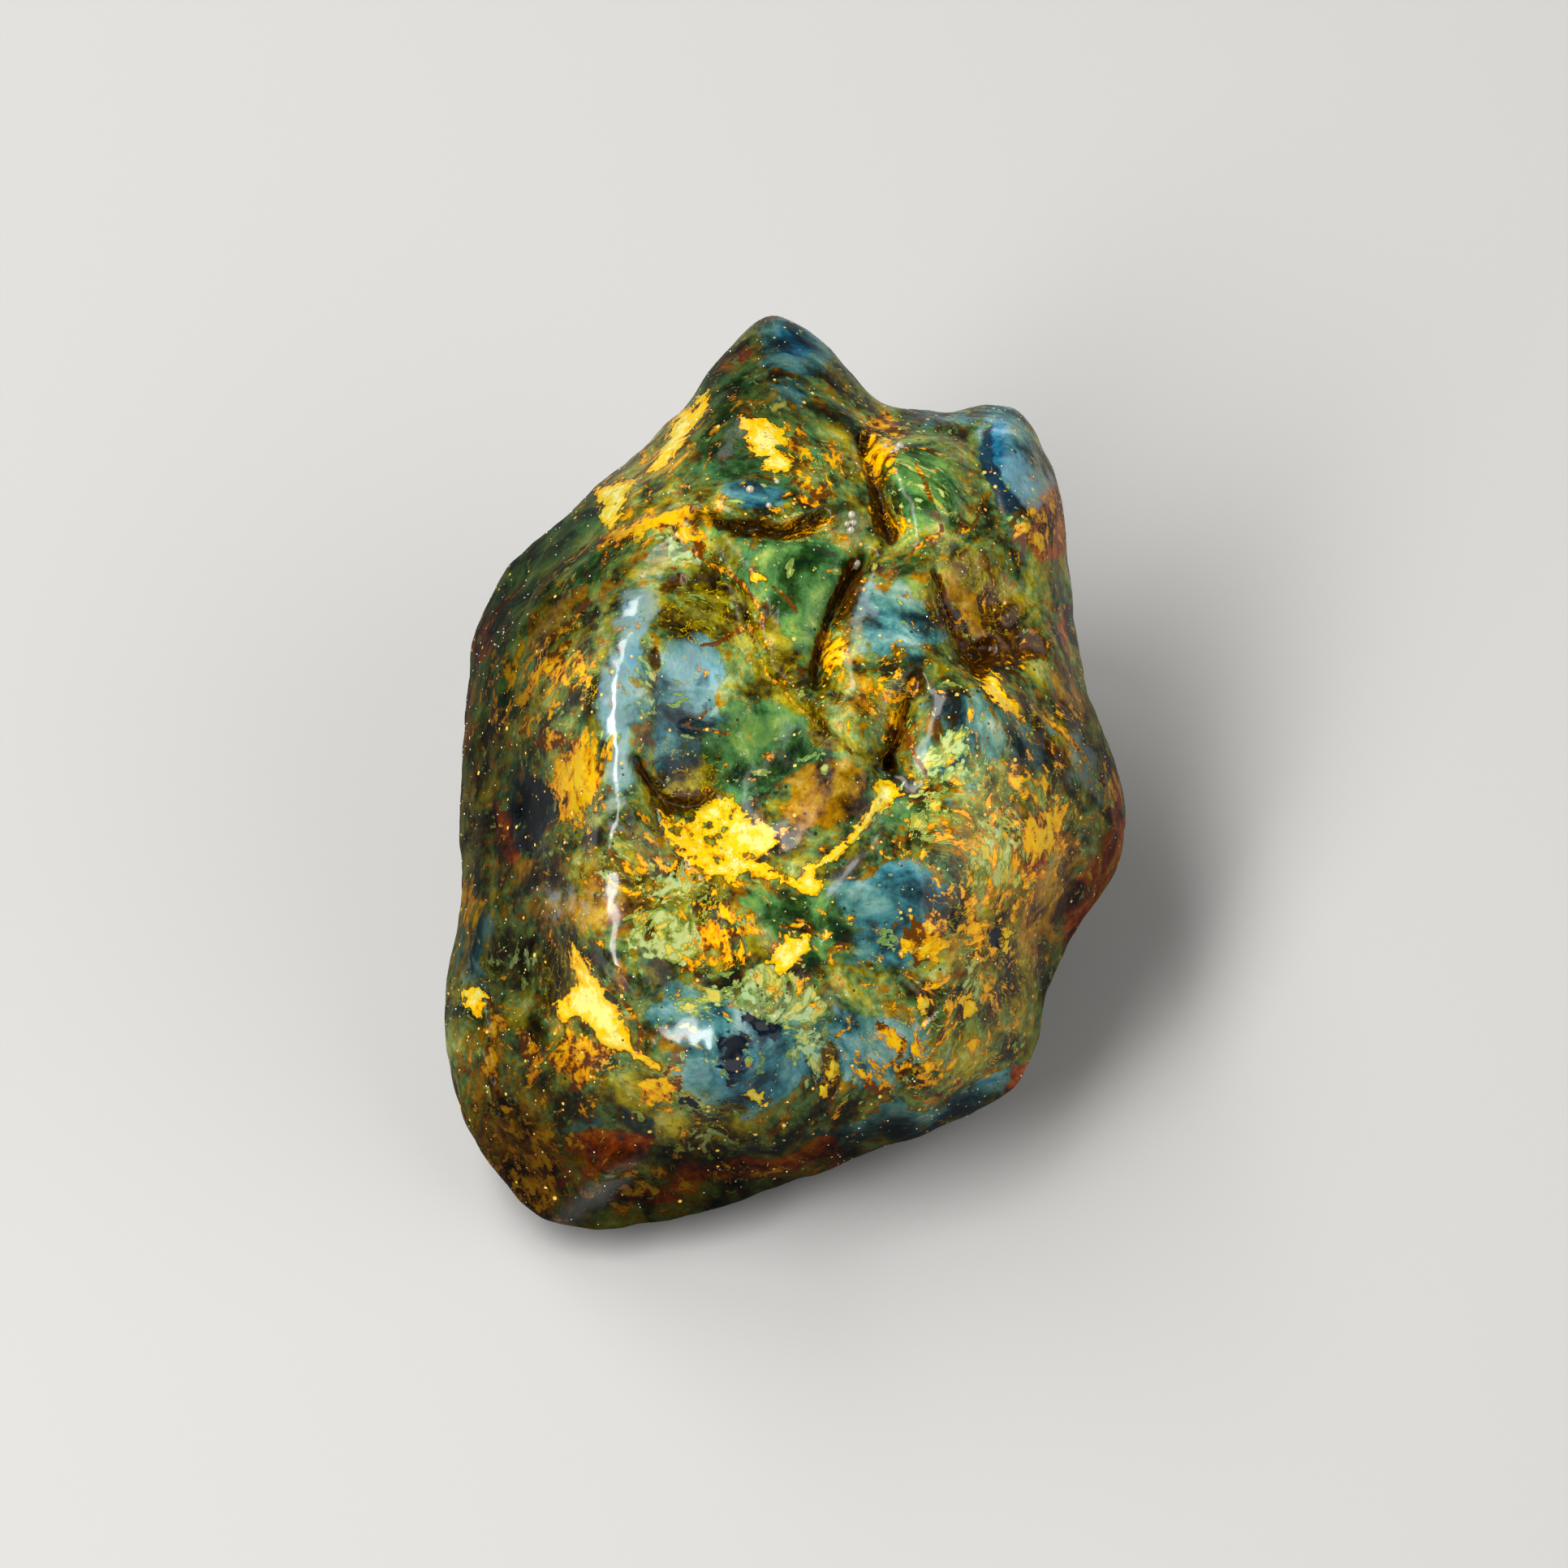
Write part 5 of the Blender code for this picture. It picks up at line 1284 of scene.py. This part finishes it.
def amber_material(colours):
    material = bpy.data.materials.new("raw amber")
    material.use_nodes = True
    tree = material.node_tree
    skin = AmberSkin(tree, colours)
    skin.lay_resins()
    skin.lay_veils()
    skin.lay_blots()
    skin.lay_hollow_darks()
    crust = skin.lay_crust()
    skin.lay_threads()
    flakes = skin.lay_flakes()
    skin.tint_parts(flakes)
    skin.lay_specks()
    skin.finish(tree.nodes["Principled BSDF"], crust, flakes)
    depth = skin.add("ShaderNodeVolumeAbsorption", ABSORPTION)
    tree.links.new(depth.outputs[0], tree.nodes["Material Output"].inputs["Volume"])
    return material


def plain_material(name, colour, roughness):
    material = bpy.data.materials.new(name)
    material.use_nodes = True
    surface = material.node_tree.nodes["Principled BSDF"]
    surface.inputs["Base Color"].default_value = (*colour, 1.0)
    surface.inputs["Roughness"].default_value = roughness
    return material


def glassy_material(name, colour, roughness):
    """A plain material under a clear wet coat."""
    material = plain_material(name, colour, roughness)
    surface = material.node_tree.nodes["Principled BSDF"]
    surface.inputs["Coat Weight"].default_value = 1.0
    surface.inputs["Coat Roughness"].default_value = 0.03
    return material


GRAIN_INPUTS = (
    ("Geometry", "NodeSocketGeometry"), ("Specks", "NodeSocketFloat"), ("Speck radius", "NodeSocketFloat"),
    ("Beads", "NodeSocketFloat"), ("Bead radius", "NodeSocketFloat"),
    ("Speck material", "NodeSocketMaterial"), ("Bead material", "NodeSocketMaterial"))
GRAIN_SPAN = {"Min": 0.35, "Max": 1.0}  # sizes beside the largest grain's
# The grains' shades; the pale ones are partly painted glints.
GRAIN_AND_GLINT_SHADES = (
    (0.0, (0.30, 0.16, 0.03)), (0.3, (0.55, 0.42, 0.16)), (0.5, (0.42, 0.46, 0.42)),
    (0.7, (0.80, 0.74, 0.50)), (0.9, (0.86, 0.86, 0.80)))


def bead_tree():
    """Grains set in the skin: fine specks all over, and larger beads where the bead field is strong."""
    tree = bpy.data.node_groups.new("set grains", "GeometryNodeTree")
    for name, kind in GRAIN_INPUTS:
        tree.interface.new_socket(name=name, in_out="INPUT", socket_type=kind)
    tree.interface.new_socket(name="Geometry", in_out="OUTPUT", socket_type="NodeSocketGeometry")
    graph = Graph(tree)
    given = tree.nodes.new("NodeGroupInput").outputs
    field = graph.add("GeometryNodeInputNamedAttribute", {"Name": "bead"}, data_type="FLOAT").outputs[0]
    parts = []
    for density, radius, detail, seed, kind in (
            (given["Specks"], given["Speck radius"], 1, 7, "Speck material"),
            (graph.sum("MULTIPLY", field, given["Beads"]), given["Bead radius"], 3, 3, "Bead material")):
        spread = graph.add("GeometryNodeDistributePointsOnFaces", {
            "Mesh": given["Geometry"], "Density": density, "Seed": seed})
        grain = graph.add("GeometryNodeMeshIcoSphere", {"Radius": radius, "Subdivisions": detail})
        size = graph.add("FunctionNodeRandomValue", {"Seed": seed}, data_type="FLOAT")
        for socket in size.inputs:
            if socket.name in GRAIN_SPAN and socket.type == "VALUE" and socket.enabled:
                socket.default_value = GRAIN_SPAN[socket.name]
        part = graph.add("GeometryNodeInstanceOnPoints", {
            "Points": spread.outputs["Points"], "Instance": grain.outputs["Mesh"],
            "Rotation": spread.outputs["Rotation"], "Scale": size.outputs[1]})
        solid = graph.add("GeometryNodeRealizeInstances", {0: part.outputs["Instances"]}).outputs[0]
        painted = graph.add("GeometryNodeSetMaterial", {"Geometry": solid, "Material": given[kind]})
        parts.append(painted.outputs[0])
    joined = graph.add("GeometryNodeJoinGeometry")
    for part in parts:
        tree.links.new(part, joined.inputs[0])
    tree.links.new(joined.outputs[0], tree.nodes.new("NodeGroupOutput").inputs[0])
    return tree


def grain_and_glint_material():
    """Pale mineral grains of several shades; the palest are partly painted glints."""
    material = glassy_material("pale grains", (0.66, 0.62, 0.44), 0.25)
    graph = Graph(material.node_tree)
    cells = graph.cells(graph.place_in_mm(), 0.9)
    pick = graph.add("ShaderNodeSeparateColor", {0: cells["Color"]}).outputs[0]
    surface = material.node_tree.nodes["Principled BSDF"]
    graph.feed(surface.inputs["Base Color"], graph.ramp(pick, GRAIN_AND_GLINT_SHADES))
    return material


# ---------------------------------------------------------------- pieces


class AMBER_OT_lump(bpy.types.Operator):
    """Makes the lump with its fine relief, marks and wet skin"""

    bl_idname = "amber.lump"
    bl_label = "Lump"

    def execute(self, context):
        mesh, shift = lump_mesh(context.scene.amber_sizes)
        mesh.materials.append(amber_material(context.scene.amber_colours))
        lump = bpy.data.objects.new("amber_skin", mesh)
        context.scene.collection.objects.link(lump)
        context.scene["amber_shift"] = list(map(float, shift))
        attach(lump, "root")
        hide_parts(LUMP_NODE)
        return {"FINISHED"}


class AMBER_OT_grains(bpy.types.Operator):
    """Sets pale grains into the lump's skin, thickest beside its cracks"""

    bl_idname = "amber.grains"
    bl_label = "Grains"

    def execute(self, context):
        sizes = context.scene.amber_sizes
        host = bpy.data.objects["amber_skin"].copy()
        context.scene.collection.objects.link(host)
        tree = bead_tree()
        modifier = host.modifiers.new("grains", "NODES")
        modifier.node_group = tree
        values = {
            "Specks": sizes.specks * PER_SQUARE_METRE, "Speck radius": sizes.speck_radius,
            "Beads": sizes.beads * PER_SQUARE_METRE, "Bead radius": sizes.bead_radius,
            "Speck material": grain_and_glint_material(),
            "Bead material": glassy_material("glassy beads", (0.34, 0.31, 0.22), 0.2)}
        for item in tree.interface.items_tree:
            if item.in_out == "INPUT" and item.name in values:
                modifier[item.identifier] = values[item.name]
        made = host.evaluated_get(context.evaluated_depsgraph_get())
        mesh = bpy.data.meshes.new_from_object(made)
        bpy.data.objects.remove(host)
        mesh.shade_smooth()
        grains = bpy.data.objects.new("amber_grains", mesh)
        context.scene.collection.objects.link(grains)
        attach(grains, "root")
        return {"FINISHED"}


VIEW_POINT = (-0.1, -0.8, 0.0)  # what the camera looks at, on the face
VIEW_WIDTH = 96.6  # millimetres across the frame at the face's middle
VIEW_DISTANCE = 1.5
SENSOR_WIDTH = 36.0
CLIP_START = 0.05
CLIP_END = 20.0
FLOOR_SIDE = 6.0
FLOOR_COLOUR = (0.40, 0.395, 0.385)
FLOOR_ROUGHNESS = 0.7
ROOM_COLOUR = (0.85, 0.84, 0.82, 1.0)
ROOM_STRENGTH = 0.22
LAMPS = (
    # name, direction off the face (right, up, out), face axis its long side follows, distance, sides, power
    ("key", (-0.50, 0.30, 0.81), 1, 0.65, (0.36, 0.80), 1.0),
    ("core", (-0.50, 0.30, 0.81), 1, 0.64, (0.18, 0.80), 6.2),
    ("back", (-0.37, 0.90, 0.20), 2, 0.65, (0.16, 0.42), 1.8),
    ("side", (0.80, 0.10, 0.58), 1, 0.90, (0.90, 0.90), 4.8),
    ("low", (-0.59, -0.68, 0.43), 0, 0.50, (0.08, 0.22), 1.2),
)


def face_axes():
    """The face's right, up and outward ways as the columns of a turn."""
    cos, sin = math.cos(FACE_TILT), math.sin(FACE_TILT)
    return Matrix(((1.0, 0.0, 0.0), (0.0, sin, -cos), (0.0, cos, sin)))


def facing(away, up):
    """The turn of a lamp or camera that looks back along a way, with its top side up."""
    back = away.normalized()
    top = (up - back * up.dot(back)).normalized()
    return Matrix((top.cross(back), top, back)).transposed().to_euler()


class AMBER_OT_stage(bpy.types.Operator):
    """Makes the floor, the lamps and the camera"""

    bl_idname = "amber.stage"
    bl_label = "Stage"

    def execute(self, context):
        scene = context.scene
        shift = scene["amber_shift"]
        target = Vector(face_to_world(*map(np.float64, VIEW_POINT)) * MM) + Vector((*shift, 0.0))
        self.make_floor(scene)
        for name, direction, axis, distance, sides, power in LAMPS:
            offset = face_axes() @ Vector(direction).normalized() * distance
            self.make_lamp(scene, name, target, offset, face_axes().col[axis], sides, power)
        self.make_camera(scene, target)
        self.make_world(scene)
        return {"FINISHED"}

    def make_floor(self, scene):
        floor_mesh = bmesh.new()
        bmesh.ops.create_grid(floor_mesh, x_segments=4, y_segments=4, size=FLOOR_SIDE / 2)
        mesh = bpy.data.meshes.new("floor")
        floor_mesh.to_mesh(mesh)
        floor_mesh.free()
        mesh.materials.append(plain_material("pale floor", FLOOR_COLOUR, FLOOR_ROUGHNESS))
        floor = bpy.data.objects.new("floor", mesh)
        scene.collection.objects.link(floor)

    def make_lamp(self, scene, name, target, offset, along, sides, power):
        light = bpy.data.lights.new(name, "AREA")
        light.shape = "RECTANGLE"
        light.size, light.size_y = sides
        light.energy = power
        lamp = bpy.data.objects.new(name, light)
        lamp.location = target + offset
        lamp.rotation_euler = facing(offset, along)
        scene.collection.objects.link(lamp)

    def make_camera(self, scene, target):
        lens = bpy.data.cameras.new("camera")
        lens.sensor_width = SENSOR_WIDTH
        lens.lens = lens.sensor_width * VIEW_DISTANCE / (VIEW_WIDTH * MM)
        lens.clip_start = CLIP_START
        lens.clip_end = CLIP_END
        camera = bpy.data.objects.new("camera", lens)
        away = Vector((0.0, -math.cos(FACE_TILT), math.sin(FACE_TILT)))
        camera.location = target + away * VIEW_DISTANCE
        camera.rotation_euler = (-away).to_track_quat("-Z", "Y").to_euler()
        scene.collection.objects.link(camera)
        scene.camera = camera

    def make_world(self, scene):
        world = bpy.data.worlds.new("soft studio")
        scene.world = world
        world.use_nodes = True
        background = world.node_tree.nodes["Background"]
        background.inputs["Color"].default_value = ROOM_COLOUR
        background.inputs["Strength"].default_value = ROOM_STRENGTH
        scene.view_settings.view_transform = "Standard"


class AMBER_PT_panel(bpy.types.Panel):
    """Lists the sizes, the colours and the pieces"""

    bl_idname = "AMBER_PT_panel"
    bl_label = "Raw amber"
    bl_space_type = "VIEW_3D"
    bl_region_type = "UI"
    bl_category = "Amber"

    def draw(self, context):
        for group in (context.scene.amber_sizes, context.scene.amber_colours):
            for name in group.bl_rna.properties.keys():
                if name not in ("name", "rna_type"):
                    self.layout.prop(group, name)
        for operator in OPERATORS:
            self.layout.operator(operator.bl_idname)


OPERATORS = (AMBER_OT_lump, AMBER_OT_grains, AMBER_OT_stage)
CLASSES = (AmberSizes, AmberColours, *OPERATORS, AMBER_PT_panel)


def register():
    for made in CLASSES:
        bpy.utils.register_class(made)
    bpy.types.Scene.amber_sizes = bpy.props.PointerProperty(type=AmberSizes)
    bpy.types.Scene.amber_colours = bpy.props.PointerProperty(type=AmberColours)


def unregister():
    del bpy.types.Scene.amber_sizes
    del bpy.types.Scene.amber_colours
    for made in reversed(CLASSES):
        bpy.utils.unregister_class(made)


def main():
    register()
    bpy.ops.amber.lump()
    bpy.ops.amber.grains()
    bpy.ops.amber.stage()


if __name__ == "__main__":
    main()
